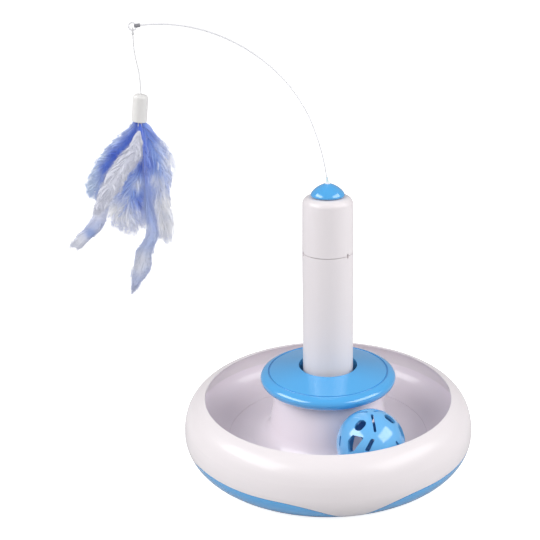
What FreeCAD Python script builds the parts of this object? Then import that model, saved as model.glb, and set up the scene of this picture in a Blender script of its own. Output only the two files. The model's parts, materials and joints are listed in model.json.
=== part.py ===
import FreeCAD, Part
import math
import os

# Cat track ball toy with a turning feather wand, in millimetres.
# Origin: centre of the underside on the ground. +Z up, the wand leans to -X at rest.

# Bowl: outer shell shared by the blue pan and the white rim
bowl_r = 100.0              # widest radius
belly_z = 22.0              # height of the widest ring
lip_centre_r = 82.0         # where the upper outline is level
lip_rise = 24.6             # belly to the top of the lip
lip_fullness = 2.2          # exponent of the upper outline, 2 is an ellipse
sole_r = 76.0               # flat underside radius
foot_stand = 1.0            # how far the pads stand out below the pan
pan_wall = 2.2
rim_wall = 2.0
lap_wall = 1.4              # upstand of the pan behind the rim skin
lap_top_z = 22.6
part_gap = 0.25             # visible parting line

# Wavy parting line between rim and pan
plateau_z = 19.3
lobe_count = 4
lobe_turn = 9.0             # degrees from the front to the first lobe
hill_r = 75.0
hill_x = 48.0
valley_r = 15.0
lobe_cut_r = 60.0           # inner end of the lobe's cutter, and its length
lobe_over = 3.0             # how far the cutter stands over the plateau

# Track
opening_r = 84.8
lip_bulge_r = 90.4
lip_bulge_z = 39.6
seam_r = 92.9
seam_z = 31.4
floor_z = 15.8
floor_edge_r = 69.5
channel_top_z = 33.0        # height where the channel wall is upright
tray_wall = 2.2
floor_step = 0.35           # crease between floor and side wall
floor_step_w = 0.15
rim_slot_top_z = 37.5
rim_slot_skin = 3.4         # from the widest radius to the slot under the lip
rim_slot_lean = 0.7
rim_slot_w = 1.0            # at its top
lip_round = 1.1

# Hub and post socket
deck_z = 53.2
deck_r = 36.3
hub_taper = 9.0             # degrees
hub_fillet = 12.0
socket_floor_z = 24.0
socket_gap = 0.1

# Fasteners and pads
screw_r = 1.5
screw_head_r = 2.8
screw_head_h = 1.8
screw_play = 0.2
screw_tip_gap = 0.5
drive_half_w = 0.4
drive_half_len = 1.8
drive_depth = 1.0
seat_wall = 1.4
seat_depth = 2.0            # from the pan boss top down to the screw's seat
boss_r = 3.6
web_half = 1.2
gate_half = 7.0             # opening in the lap for a rim boss
rim_screw_ring = 82.0
rim_boss_z = 7.2
rim_boss_top = 14.8
tray_screw_ring = 61.0
tray_screw_turn = 45.0
tray_boss_z = 7.2
screw_bite = 7.0
pad_r = 7.0
pad_ring = 64.0
pad_sink = 1.0              # how deep a pad sits in the pan
pad_round = 0.5
rib_count = 8
rib_h = 3.0
rib_w = 1.4
rib_clear = 4.0             # from the middle pad
rib_end = 8.0               # short of the sole's edge
merge = 0.5                 # depth that joined solids share

# Hub cap
cap_edge_x = 39.5
cap_edge_z = 59.3
cap_edge_out = 7.2
cap_edge_up = 4.3
cap_edge_down = 5.7
cap_hole_r = 20.1
cap_top_z = 67.5
cap_wall = 2.0
cap_flange_gap = 0.8
groove_r = 40.9
groove_w = 0.6
groove_sink = 0.1           # groove's centre below the surface

# Ball
ball_r = 22.3
ball_wall = 1.7
ball_track_r = 63.4
ball_turn = 25.5            # degrees right of the front
ball_float = 0.15
ball_seam_gap = 0.1
window_sets = 3
window_round = 1.5
# Capsule windows of a half as (width, lowest, highest latitude, azimuth, twist)
window_lean = 0.7           # greatest sine between a window's side edge and its middle ray
capsules = [(6.4, 46.5, 67.5, -127.0, -12.0), (1.7, 48.0, 84.0, -82.0, 0.0),
            (1.6, 8.0, 25.0, -158.0, 22.0)]
# Cornered windows of a half, each corner as (azimuth, latitude)
cornered = [[(-133.0, 37.0), (-106.5, 38.0), (-121.0, 14.0), (-131.0, 8.0), (-138.0, 25.0)],
            [(-92.0, 37.0), (-84.0, 36.5), (-95.0, 17.0), (-103.0, 17.0)]]
bell_r = 7.2
bell_wall = 0.5
bell_float = 0.35
bell_slit = 1.0
bell_seam_r = 0.3
pellet_r = 2.2
pellet_float = 0.02

# Post tube and head
post_r = 17.2
seam_post_r = 17.0
head_top_r = 16.5
post_wall = 1.8
post_top_z = 149.5
seam_groove = 0.4
head_top_z = 187.0
head_round = 4.6
head_lid = 2.2
spigot_gap = 0.08
spigot_len = 7.6
spigot_wall = 1.5
notch_w = 1.6
notch_h = 1.4
notch_d = 0.9
notch_angles = (80, 200, 320)
tube_chamfer = 0.6
tube_floor = 2.0
shelf_w = 2.2
shelf_h = 2.0
head_floor = 3.0            # joint to the inside floor of the head
rest_in_r = 10.8            # inner end of the rests under the gear frame
rest_half = 2.0
rest_h = 2.0
knob_gap = 0.4

# Batteries and contacts
cell_r = 7.2
cell_len = 49.2
nub_r = 2.7
nub_len = 1.0
cell_gap = 0.3
carrier_floor_z = 82.0
carrier_plate = 2.0
contact_t = 0.5
disc_t = 1.4
ring_t = 0.4
bridge_half = 3.0
bridge_over = 4.0           # past each cell's axis
foot_half = 3.0
strip_half = 1.4
terminal_slot = 1.6
spine_in = 6.2
spine_half = 4.0
cell_apart = 0.4
cell_round = 0.6
fit_gap = 0.3               # loose fit of the inner plates and the carrier
disc_gap = 0.4
centre_ring_r = 3.0
outer_ring_r = 10.5
outer_ring_in = 7.5
finger_w = 2.4
finger_y = 4.6
finger_reach = 9.0
base_plate = 1.4
lead_play = 0.15

# Motor
motor_r = 10.0
motor_flat = 7.55
motor_z = 146.5
motor_len = 25.0
motor_cap_h = 3.0
motor_wall = 0.8
motor_tab_t = 0.6
motor_boss_r = 3.0
motor_boss_h = 1.1
motor_boss_in = 0.4          # depth of the boss in the can's end
motor_cap_in = 0.2
motor_seat = 1.0             # cap bottom to the shaft's bore
motor_shaft_low = 1.2
motor_tab_x = 6.5
motor_tab_half = 1.2
motor_tab_len = 2.2
motor_shaft_r = 1.0
armature_r = 6.2
armature_low = 7.0           # over the motor's bottom
armature_high = 20.0
armature_slot = 0.9          # half width
armature_core_r = 3.0
drum_r = 2.4
drum_gap = 0.4

# Gear train: two shafts, four equal steps
gear_module = 0.5
small_teeth = 8
large_teeth = 20
gear_backlash = 0.16
addendum = 0.8              # in modules
dedendum = 1.2              # in modules
pressure_angle = 20.0
gear_pin_r = 0.75
shaft_r = 0.75
run_gap = 0.05
gear_w = 1.6
gear_gap = 0.3
frame_t = 1.2
pillar_r = 1.7
pillar_ring = 11.4
cover_gap = 0.2
cover_screw_r = 0.9
cover_head_r = 1.5
cover_head_h = 0.9
gear_base_z = motor_z + motor_len + frame_t + 2 * gear_gap
bush_r = 2.4
bush_flange_r = 3.4

# Switch at the back of the head
switch_z = 159.0
switch_w = 8.6
switch_h = 4.4
switch_d = 3.6
knob_w = 3.4
knob_h = 2.6
switch_off = 0.5            # clear of the motor
switch_travel = 2.0
knob_in = 1.5
knob_out = 1.0
knob_round = 0.4
way_gap = 0.2
lead_r = 0.5
lead_rise = 2.4
lead_bend = 0.4             # share of a run that a bend takes
lead_skin = 0.05

# Rotor dome
dome_r = 11.1
dome_z = 187.5
dome_top_z = 196.0
dome_wall = 1.7
dome_boss_r = 3.6
dome_skirt = 0.8
dome_draft = 0.3
dome_open = 0.6             # extra depth of the hollow
dome_fullness = 1.5         # exponent of the outline, 2 is an ellipse
shaft_in_dome = 4.2

# Wand wire: start lean and a chain of tangent bends (length, degrees)
bead_r = 1.9
bead_z = 195.3
bead_gap = 0.1
neck_r = 1.0
neck_h = 3.4
neck_tip = 0.25             # wall at its thin end
neck_in = 0.6
wire_r = 0.5
wire_lean = 6.4
wire_bends = [(40.4, 15.2), (43.3, 27.1), (34.0, 17.9), (54.9, 31.4)]
eye_r = 2.3
crimp_r = 1.15
crimp_len = 3.6
crimp_share = 0.7           # part of it on the wire's side of the joint
crimp_round = 0.4

# String, cap and feathers
link_r = 1.2
link_wire = 0.35
knot_r = 0.9
knot_sink = 0.1
string_r = 0.35
string_start = 2.8          # below the eye's lowest point
string_bend = 0.45          # share of a run that a bend takes
string_points = [(-0.06, -7.4), (0.24, -14.9), (1.74, -22.2), (2.64, -29.4), (2.5, -40.6)]
string_in = 1.6             # string's end in the cap
fcap_r = 4.8
fcap_len = 17.3
fcap_tilt = 7.5
fcap_wall = 1.1
fcap_top_round = 2.6
fcap_low_round = 0.4
quill_r = 0.55
quill_in = 9.0

V = FreeCAD.Vector
UP = V(0, 0, 1)


def rod(radius, z0, z1, x=0.0, y=0.0):
    return Part.makeCylinder(radius, z1 - z0, V(x, y, z0))


def ring(outer, inner, z0, z1, x=0.0, y=0.0):
    return rod(outer, z0, z1, x, y).cut(rod(inner, z0 - 1, z1 + 1, x, y))


def block(x0, x1, y0, y1, z0, z1):
    return Part.makeBox(x1 - x0, y1 - y0, z1 - z0, V(x0, y0, z0))


def turned(shape, degrees, centre=V(0, 0, 0), axis=UP):
    copy = shape.copy()
    copy.rotate(centre, axis, degrees)
    return copy


def line(a, b):
    return Part.LineSegment(a, b).toShape()


def smooth(points):
    curve = Part.BSplineCurve()
    curve.interpolate(points)
    return curve.toShape()


def spin_profile(edges):
    """Solid of revolution about Z from edges in the XZ plane."""
    face = Part.Face(Part.Wire(edges))
    solid = face.revolve(V(0, 0, 0), UP, 360)
    return solid if solid.Volume > 0 else solid.reversed()


def spin_polygon(points):
    corners = [V(r, 0, z) for r, z in points]
    return spin_profile([line(a, b) for a, b in zip(corners, corners[1:] + corners[:1])])


def polar(radius, degrees, z=0.0):
    a = math.radians(degrees)
    return V(radius * math.cos(a), radius * math.sin(a), z)


def lobe_angle(index):
    return -90.0 + lobe_turn + 360.0 / lobe_count * index


# Bowl outline: upper quarter is a full ellipse, lower quarter a plain one
def upper_outline(inset, steps=8):
    out = bowl_r - lip_centre_r - inset
    up = lip_rise - inset
    points = []
    for i in range(steps + 1):
        t = math.pi / 2 * i / steps
        dr = out * math.cos(t) ** (2 / lip_fullness)
        dz = up * math.sin(t) ** (2 / lip_fullness)
        points.append(V(lip_centre_r + dr, 0, belly_z + dz))
    return points


def lower_outline(inset, steps=6):
    out = bowl_r - sole_r - inset
    down = belly_z - foot_stand - inset
    points = []
    for i in range(steps + 1):
        t = math.pi / 2 * i / steps
        points.append(V(sole_r + out * math.sin(t), 0, belly_z - down * math.cos(t)))
    return points


def bowl_body(inset):
    """The whole outer shape as one solid, shrunk by the inset."""
    low = lower_outline(inset)
    high = upper_outline(inset)
    base = V(0, 0, foot_stand + inset)
    top = V(0, 0, high[-1].z)
    edges = [line(base, low[0]), smooth(low), smooth(high), line(high[-1], top), line(top, base)]
    return spin_profile(edges)


def lobe_prism(inset):
    """Space of one white lobe, grown downwards by the inset, along +X."""
    hill = hill_r - inset
    valley = valley_r + inset
    hill_z = plateau_z - hill_r
    valley_z = hill_z + math.sqrt((hill_r + valley_r) ** 2 - hill_x ** 2)
    touch = hill / (hill_r + valley_r)
    touch_x = hill_x - hill_x * touch
    touch_z = hill_z + (valley_z - hill_z) * touch
    lean = math.atan2(valley_z - hill_z, hill_x)
    half = (lean + math.pi / 2) / 2
    mid_x = hill_x - hill * math.cos(half)
    mid_z = hill_z + hill * math.sin(half)
    high = plateau_z + lobe_over

    def at(s, z):
        return V(lobe_cut_r, s, z)

    left, right = at(-hill_x, hill_z + hill), at(hill_x, hill_z + hill)
    foot_l, foot_r = at(-touch_x, touch_z), at(touch_x, touch_z)
    edges = [
        Part.Arc(left, at(-mid_x, mid_z), foot_l).toShape(),
        Part.Arc(foot_l, at(0, valley_z - valley), foot_r).toShape(),
        Part.Arc(foot_r, at(mid_x, mid_z), right).toShape(),
        line(right, at(hill_x, high)),
        line(at(hill_x, high), at(-hill_x, high)),
        line(at(-hill_x, high), left),
    ]
    return Part.Face(Part.Wire(edges)).extrude(V(lobe_cut_r, 0, 0))


def above_wave(inset):
    """Everything over the parting line, moved down by the inset."""
    zone = rod(2 * lobe_cut_r, plateau_z - inset, bowl_r)
    for i in range(lobe_count):
        zone = zone.fuse(turned(lobe_prism(inset), lobe_angle(i)))
    return zone


def channel_space():
    """Room inside the lip, above the seam between tray and rim, with the lip's edge rounded."""
    seam = V(seam_r, 0, seam_z)
    below = V(opening_r + 0.4 * lip_round, 0, outline_height(opening_r) - lip_round)
    corner = V(opening_r + 0.3 * lip_round, 0, outline_height(opening_r) - 0.3 * lip_round)
    beyond_r = opening_r + 1.2 * lip_round
    beyond = V(beyond_r, 0, outline_height(beyond_r))
    inside = Part.Arc(seam, V(lip_bulge_r, 0, lip_bulge_z), below).toShape()
    rounding = Part.Arc(below, corner, beyond).toShape()
    top = bowl_r
    corners = [beyond, V(beyond_r, 0, top), V(0, 0, top), V(0, 0, seam_z), seam]
    return spin_profile([inside, rounding] + [line(a, b) for a, b in zip(corners, corners[1:])])


def outline_height(radius):
    out = (radius - lip_centre_r) / (bowl_r - lip_centre_r)
    return belly_z + lip_rise * (1 - out ** lip_fullness) ** (1 / lip_fullness)


def screw_spots(radius, start):
    return [polar(radius, start + 90.0 * i) for i in range(4)]


def rim_screw_spots():
    return [polar(rim_screw_ring, lobe_angle(i)) for i in range(lobe_count)]


def tray_screw_spots():
    return screw_spots(tray_screw_ring, lobe_angle(0) + tray_screw_turn)


def all_screw_spots():
    return rim_screw_spots() + tray_screw_spots()


def pad_spots():
    return [V(0, 0, 0)] + screw_spots(pad_ring, lobe_angle(0))


pan_floor_z = foot_stand + pan_wall
pad_top_z = foot_stand + pad_sink
screw_seat_z = rim_boss_z - seat_depth
screw_end_z = rim_boss_z + screw_bite


def base_pan():
    skin = bowl_body(0).cut(bowl_body(pan_wall))
    pan = skin.cut(above_wave(part_gap))
    lap = bowl_body(pan_wall).cut(bowl_body(pan_wall + lap_wall))
    lap = lap.cut(rod(bowl_r + 1, lap_top_z, bowl_r))
    for i in range(lobe_count):
        gate = block(rim_screw_ring - gate_half, bowl_r, -gate_half, gate_half, rim_boss_z, bowl_r)
        lap = lap.cut(turned(gate, lobe_angle(i)))
    pan = pan.fuse(lap)
    for i in range(rib_count):
        rib = block(pad_r + rib_clear, sole_r - rib_end, -rib_w / 2, rib_w / 2,
                    pan_floor_z - merge, pan_floor_z + rib_h)
        pan = pan.fuse(turned(rib, lobe_angle(0) + 360.0 / rib_count * (i + 0.5)))
    for spot in all_screw_spots():
        pan = pan.fuse(rod(screw_head_r + seat_wall, pan_floor_z - merge, rim_boss_z, spot.x, spot.y))
    for spot in all_screw_spots():
        pan = pan.cut(rod(screw_r + screw_play, 0, screw_end_z, spot.x, spot.y))
        pan = pan.cut(rod(screw_head_r + screw_play, 0, screw_seat_z, spot.x, spot.y))
    for spot in pad_spots():
        pan = pan.cut(rod(pad_r, 0, pad_top_z, spot.x, spot.y))
    return pan


def rim_shell():
    skin = bowl_body(0).cut(bowl_body(rim_wall)).common(above_wave(0))
    lip = bowl_body(0).cut(rod(bowl_r + 1, 0, seam_z))
    slot_in = seam_r + rim_wall
    slot_top = slot_in - rim_slot_lean
    slot = spin_polygon([(slot_in, seam_z - 1), (bowl_r - rim_slot_skin, seam_z - 1),
                         (slot_top, rim_slot_top_z), (slot_top - rim_slot_w, rim_slot_top_z)])
    rim = skin.fuse(lip.cut(slot)).cut(channel_space())
    rim = rim.cut(rod(opening_r - 2, 0, bowl_r))
    for i in range(lobe_count):
        rim = rim.fuse(rim_boss(i))
    for spot in rim_screw_spots():
        rim = rim.cut(rod(screw_r, 0, screw_end_z, spot.x, spot.y))
    return rim


def rim_boss(index):
    """Screw post with its web to the rim skin, on a lobe."""
    post = rod(boss_r, rim_boss_z, rim_boss_top, rim_screw_ring)
    web = block(rim_screw_ring, bowl_r, -web_half, web_half, rim_boss_z + 1, rim_boss_top)
    return turned(post.fuse(web.common(bowl_body(rim_wall / 2))), lobe_angle(index))


def hub_fillet_centre():
    t = math.radians(hub_taper)
    z = floor_z + hub_fillet
    r = deck_r + (hub_fillet + (deck_z - z) * math.sin(t)) / math.cos(t)
    return r, z


def tray_outline(inset):
    """Top surface of the tray from the seam to the deck, or its underside."""
    t = math.radians(hub_taper)
    centre_r, centre_z = hub_fillet_centre()
    radius = hub_fillet + inset
    out = seam_r - floor_edge_r + floor_step_w + inset
    down = channel_top_z - floor_z - floor_step + inset
    start = math.asin((channel_top_z - seam_z) / down)
    steps = 8
    wall = []
    for i in range(steps + 1):
        a = start + (math.pi / 2 - start) * i / steps
        wall.append(V(floor_edge_r + out * math.cos(a), 0, channel_top_z - down * math.sin(a)))
    floor_in = V(centre_r, 0, floor_z - inset)
    floor_out = V(floor_edge_r, 0, floor_z - inset)
    hub_low = V(centre_r - radius * math.cos(t), 0, centre_z - radius * math.sin(t))
    half = (math.pi / 2 + t) / 2
    mid = V(centre_r - radius * math.cos(half), 0, centre_z - radius * math.sin(half))
    top_z = deck_z - inset
    hub_top = V(hub_low.x - (top_z - hub_low.z) * math.tan(t), 0, top_z)
    fillet = Part.Arc(floor_in, mid, hub_low).toShape()
    return [smooth(wall), line(wall[-1], floor_out), line(floor_out, floor_in), fillet,
            line(hub_low, hub_top)], wall[0], hub_top


def track_tray():
    top, top_seam, top_hub = tray_outline(0)
    low, low_seam, low_hub = tray_outline(tray_wall)
    socket_r = post_r + socket_gap
    sleeve_r = socket_r + tray_wall
    inner = [top_hub, V(socket_r, 0, deck_z), V(socket_r, 0, socket_floor_z), V(0, 0, socket_floor_z),
             V(0, 0, socket_floor_z - tray_wall), V(sleeve_r, 0, socket_floor_z - tray_wall),
             V(sleeve_r, 0, deck_z - tray_wall), low_hub]
    edges = top + [line(a, b) for a, b in zip(inner, inner[1:])] + low[::-1]
    edges.append(line(low_seam, top_seam))
    tray = spin_profile(edges)
    for spot in tray_screw_spots():
        tray = tray.fuse(rod(boss_r, tray_boss_z, floor_z - tray_wall + merge, spot.x, spot.y))
    for spot in tray_screw_spots():
        tray = tray.cut(rod(screw_r, 0, tray_boss_z + screw_bite, spot.x, spot.y))
    return tray


def base_screws():
    screws = []
    for spot in all_screw_spots():
        low = screw_seat_z - screw_head_h
        head = rod(screw_head_r, low, screw_seat_z, spot.x, spot.y)
        drive = block(spot.x - drive_half_w, spot.x + drive_half_w,
                      spot.y - drive_half_len, spot.y + drive_half_len, 0, low + drive_depth)
        cross = turned(drive, 90, spot)
        shank = rod(screw_r, screw_seat_z, screw_end_z - screw_tip_gap, spot.x, spot.y)
        screws.append(head.fuse(shank).cut(drive).cut(cross))
    return Part.makeCompound(screws)


def non_slip_feet():
    pads = []
    for spot in pad_spots():
        pad = rod(pad_r, 0, pad_top_z, spot.x, spot.y)
        bottom = [e for e in pad.Edges if e.BoundBox.ZMax < 0.01]
        pads.append(pad.makeFillet(pad_round, bottom))
    return Part.makeCompound(pads)


def cap_edge_curve(inset, upper, steps=6):
    height = (cap_edge_up if upper else cap_edge_down) - inset
    sign = 1 if upper else -1
    out = cap_edge_out - inset
    points = []
    for i in range(steps + 1):
        t = math.pi / 2 * i / steps
        points.append(V(cap_edge_x + out * math.cos(t), 0, cap_edge_z + sign * height * math.sin(t)))
    return points


def hub_cap():
    up_out = cap_edge_curve(0, True)[:-1]
    up_out = [p for p in up_out if p.x > groove_r]
    slope = (cap_top_z - cap_edge_z - cap_edge_up) / (cap_edge_x - cap_hole_r)
    groove_z = cap_edge_z + cap_edge_up - slope * (groove_r - cap_edge_x)
    rim_top = V(groove_r, 0, groove_z)
    down_out = cap_edge_curve(0, False)
    up_in = cap_edge_curve(cap_wall, True)
    down_in = cap_edge_curve(cap_wall, False)
    under_z = cap_edge_z - cap_edge_down
    flange_r = hub_radius(under_z) + cap_flange_gap
    hole_top = V(cap_hole_r, 0, cap_top_z)
    collar_r = cap_hole_r + cap_wall
    under_top = V(collar_r, 0, cap_top_z - cap_wall - slope * cap_wall)
    chain = [line(hole_top, rim_top), smooth([rim_top] + up_out[::-1]), smooth(down_out),
             line(down_out[-1], V(flange_r, 0, under_z)),
             line(V(flange_r, 0, under_z), V(flange_r, 0, under_z + cap_wall)),
             line(V(flange_r, 0, under_z + cap_wall), down_in[-1]),
             smooth(down_in[::-1]), smooth(up_in), line(up_in[-1], under_top),
             line(under_top, V(collar_r, 0, deck_z)),
             line(V(collar_r, 0, deck_z), V(cap_hole_r, 0, deck_z)),
             line(V(cap_hole_r, 0, deck_z), hole_top)]
    cap = spin_profile(chain)
    groove = Part.makeTorus(groove_r, groove_w, V(0, 0, groove_z - groove_sink))
    return cap.cut(groove)


def hub_radius(z):
    return deck_r + (deck_z - z) * math.tan(math.radians(hub_taper))


def ball_centre():
    return polar(ball_track_r, -90.0 + ball_turn, floor_z + ball_float + ball_r)


def window_base():
    return ball_r - ball_wall - window_round


def window_reach():
    return ball_r + window_round


def capsule_window(width, low, high, azimuth, twist):
    """Cutter from latitude low to high, square to the ball in its middle."""
    span = math.radians(high - low) * ball_r - width
    depth = window_reach() - window_base()
    cutter = block(window_base(), window_reach(), -width / 2, width / 2, -span / 2, span / 2)
    for z in (-span / 2, span / 2):
        end = Part.makeCylinder(width / 2, depth, V(window_base(), 0, z), V(1, 0, 0))
        cutter = cutter.fuse(end)
    cutter.rotate(V(0, 0, 0), V(1, 0, 0), twist)
    cutter.rotate(V(0, 0, 0), V(0, 1, 0), -(low + high) / 2)
    cutter.rotate(V(0, 0, 0), UP, azimuth)
    return cutter


def cornered_window(corners):
    """Cutter with flat sides that meet in the ball's centre and round edges between them."""
    rays = [polar(math.cos(math.radians(b)), a, math.sin(math.radians(b))) for a, b in corners]
    middle = V(0, 0, 0)
    for ray in rays:
        middle = middle + ray
    middle.normalize()
    outlines = []
    for distance in (window_base(), window_reach()):
        ends = [ray * (distance / ray.dot(middle)) for ray in rays]
        outlines.append(Part.makePolygon(ends + ends[:1]))
    cutter = Part.makeLoft(outlines, True, True)
    sides = [e for e in cutter.Edges if e.tangentAt(e.FirstParameter).cross(middle).Length < window_lean]
    return cutter.makeFillet(window_round / 2, sides)


def ball_half(upper):
    """One half; the lower one has the same windows mirrored."""
    shell = Part.makeSphere(ball_r).cut(Part.makeSphere(ball_r - ball_wall))
    half = block(-ball_r, ball_r, -ball_r, ball_r, ball_seam_gap / 2, ball_r)
    shell = shell.common(half)
    cutters = [capsule_window(*kind) for kind in capsules]
    cutters += [cornered_window(corners) for corners in cornered]
    for cutter in cutters:
        for i in range(window_sets):
            shell = shell.cut(turned(cutter, 360.0 / window_sets * i))
    if not upper:
        shell = shell.mirror(V(0, 0, 0), UP)
    shell.translate(ball_centre())
    return shell


def bell_centre():
    c = ball_centre()
    return V(c.x, c.y, c.z - (ball_r - ball_wall - bell_r - bell_float))


def bell_shell():
    c = bell_centre()
    bell = Part.makeSphere(bell_r, c).cut(Part.makeSphere(bell_r - bell_wall, c))
    slit = block(c.x - bell_r, c.x + bell_r, c.y - bell_slit / 2, c.y + bell_slit / 2,
                 c.z - bell_r - 1, c.z - bell_slit)
    bell = bell.cut(slit).cut(turned(slit, 90, c))
    seam = Part.makeTorus(bell_r - bell_seam_r / 2, bell_seam_r, c)
    return bell.fuse(seam.cut(Part.makeSphere(bell_r - bell_wall, c)))


def bell_pellet():
    c = bell_centre()
    return Part.makeSphere(pellet_r, c - UP * (bell_r - bell_wall - pellet_r - pellet_float))


def tube_inner_r():
    return seam_post_r - post_wall


def notch(angle, z0, z1):
    cutter = block(seam_post_r - notch_d, seam_post_r + 2, -notch_w / 2, notch_w / 2, z0, z1)
    return turned(cutter, angle)


def post_tube():
    body = spin_polygon([(0, socket_floor_z), (post_r, socket_floor_z), (post_r, deck_z),
                         (seam_post_r, post_top_z), (0, post_top_z)])
    bottom = [e for e in body.Edges if e.BoundBox.ZMax < socket_floor_z + 0.01]
    body = body.makeChamfer(tube_chamfer, bottom)
    body = body.cut(rod(tube_inner_r(), socket_floor_z + tube_floor, post_top_z + 1))
    shelf = ring(tube_inner_r(), tube_inner_r() - shelf_w, carrier_floor_z - shelf_h, carrier_floor_z)
    body = body.fuse(shelf)
    for angle in notch_angles:
        body = body.cut(notch(angle, post_top_z - notch_h, post_top_z + 1))
    return body


def cell_bottom_z():
    return carrier_floor_z + carrier_plate + contact_t


def cell_top_z():
    return cell_bottom_z() + cell_len + nub_len


def carrier_top_z():
    return cell_top_z() + contact_t + carrier_plate


def battery_carrier():
    low, high = cell_bottom_z() - contact_t, cell_top_z() + contact_t
    frame_r = tube_inner_r() - fit_gap
    whole = rod(frame_r, carrier_floor_z, carrier_top_z())
    body = whole.cut(rod(frame_r + 1, low, high))
    for angle in (90, 270):
        strip = block(frame_r - spine_in, frame_r, -spine_half, spine_half, carrier_floor_z, carrier_top_z())
        body = body.fuse(whole.common(turned(strip, angle)))
    slot = terminal_slot
    for x in (-cell_pitch() / 2, cell_pitch() / 2):
        body = body.cut(rod(cell_r + cell_gap, low, high, x))
        body = body.cut(block(x - slot, x + slot, -slot, slot, cell_top_z(), carrier_top_z() + 1))
    return body


def cell_pitch():
    return 2 * cell_r + cell_apart


def aa_cell(side):
    x = side * cell_pitch() / 2
    can = rod(cell_r, cell_bottom_z(), cell_bottom_z() + cell_len, x)
    rims = [e for e in can.Edges if e.BoundBox.ZLength < 0.01]
    can = can.makeFillet(cell_round, rims)
    if side > 0:
        return can.fuse(rod(nub_r, cell_bottom_z() + cell_len - merge, cell_top_z(), x))
    flipped = can.copy()
    flipped.translate(V(0, 0, nub_len))
    return flipped.fuse(rod(nub_r, cell_bottom_z(), cell_bottom_z() + nub_len + merge, x))


def bridge_contact():
    half = cell_pitch() / 2 + bridge_over
    return block(-half, half, -bridge_half, bridge_half, cell_bottom_z() - contact_t, cell_bottom_z())


def contact_disc_z():
    return carrier_top_z() + disc_gap


def terminal_contacts():
    """Two strips from the cells up through the carrier to the disc."""
    strips = []
    z0 = cell_top_z()
    for side in (-1, 1):
        x = side * cell_pitch() / 2
        foot = block(x - foot_half, x + foot_half, -strip_half, strip_half, z0, z0 + contact_t)
        leg = block(x - contact_t / 2, x + contact_t / 2, -strip_half, strip_half, z0, contact_disc_z())
        strips.append(foot.fuse(leg))
    return Part.makeCompound(strips)


def contact_disc():
    z = contact_disc_z()
    return rod(tube_inner_r() - fit_gap, z, z + disc_t)


def contact_rings():
    z = contact_disc_z() + disc_t
    return Part.makeCompound([rod(centre_ring_r, z, z + ring_t),
                              ring(outer_ring_r, outer_ring_in, z, z + ring_t)])


def spigot_r():
    return tube_inner_r() - spigot_gap


def head_bottom_z():
    return post_top_z + seam_groove


def head_shell():
    low = head_bottom_z()
    body = spin_polygon([(0, low), (seam_post_r, low), (head_top_r, head_top_z), (0, head_top_z)])
    rim = [e for e in body.Edges if e.BoundBox.ZMin > head_top_z - 0.01]
    body = body.makeFillet(head_round, rim)
    spigot = rod(spigot_r(), low - spigot_len, low + 1)
    body = body.fuse(spigot)
    inner = head_inner_r()
    body = body.cut(rod(inner, low + head_floor, head_top_z - head_lid))
    body = body.cut(rod(spigot_r() - spigot_wall, low - spigot_len - 1, low + head_floor + merge))
    body = body.cut(rod(bush_r, 0, head_top_z + 1))
    rest = block(rest_in_r, inner + merge, -rest_half, rest_half, gear_frame_z() - rest_h, gear_frame_z())
    for angle in (45, 135, 225, 315):
        body = body.fuse(turned(rest, angle))
    half_w, half_h = knob_w / 2 + knob_gap, knob_h / 2 + knob_gap
    slot = block(-half_w, half_w, motor_flat, 2 * head_top_r,
                 switch_z - half_h - switch_travel, switch_z + half_h)
    body = body.cut(slot)
    for angle in notch_angles:
        body = body.cut(notch(angle, low - 1, low + notch_h))
    return body


def head_inner_r():
    return head_top_r - post_wall


def gear_frame_z():
    return motor_z + motor_len


def head_base():
    z = head_bottom_z() - spigot_len
    plate = rod(spigot_r() - spigot_wall - socket_gap, z, z + base_plate)
    for y in (-finger_y, finger_y):
        plate = plate.cut(rod(lead_r + lead_play, z - 1, z + base_plate + 1, 0, y))
    return plate


def contact_fingers():
    """Two spring strips under the head base that press on the rings."""
    top = head_bottom_z() - spigot_len
    low = contact_disc_z() + disc_t + ring_t
    strips = []
    for side in (-1, 1):
        reach = 0.0 if side < 0 else finger_reach
        y = side * finger_y
        half = finger_w / 2
        foot = block(-half, half, y - half, y + half, top - contact_t, top)
        drop = block(-half, half, y - contact_t / 2, y + contact_t / 2, low, top)
        tip_y0, tip_y1 = sorted((side * reach, y))
        tip = block(-half, half, tip_y0, tip_y1, low, low + contact_t)
        strips.append(foot.fuse(drop).fuse(tip))
    return Part.makeCompound(strips)


def motor_body(radius, flat, z0, z1):
    return rod(radius, z0, z1).common(block(-radius, radius, -flat, flat, z0, z1))


def motor_can():
    top = motor_z + motor_len
    can = motor_body(motor_r, motor_flat, motor_z + motor_cap_h, top)
    hollow = motor_body(motor_r - motor_wall, motor_flat - motor_wall, motor_z, top - motor_wall)
    can = can.cut(hollow).fuse(rod(motor_boss_r, top - motor_boss_in, top + motor_boss_h))
    return can.cut(rod(motor_shaft_r + run_gap, motor_z, gear_base_z))


def motor_end_cap():
    top = motor_z + motor_cap_h
    cap = motor_body(motor_r - motor_cap_in, motor_flat - motor_cap_in, motor_z, top)
    cap = cap.cut(rod(motor_shaft_r + run_gap, motor_z + motor_seat, top + 1))
    for x in (-motor_tab_x, motor_tab_x):
        cap = cap.fuse(block(x - motor_tab_half, x + motor_tab_half, -motor_tab_t / 2, motor_tab_t / 2,
                             motor_z - motor_tab_len, motor_z + merge))
    return cap


def motor_shaft():
    return rod(motor_shaft_r, motor_z + motor_shaft_low, gear_base_z + gear_w + run_gap)


def motor_armature():
    low, high = motor_z + armature_low, motor_z + armature_high
    core = ring(armature_r, motor_shaft_r, low, high)
    for i in range(3):
        slot = block(armature_core_r, armature_r + 1, -armature_slot, armature_slot, low - 1, high + 1)
        core = core.cut(turned(slot, 60 + 120 * i))
    return core.fuse(ring(drum_r, motor_shaft_r, motor_z + motor_cap_h + drum_gap, low + merge))


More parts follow.
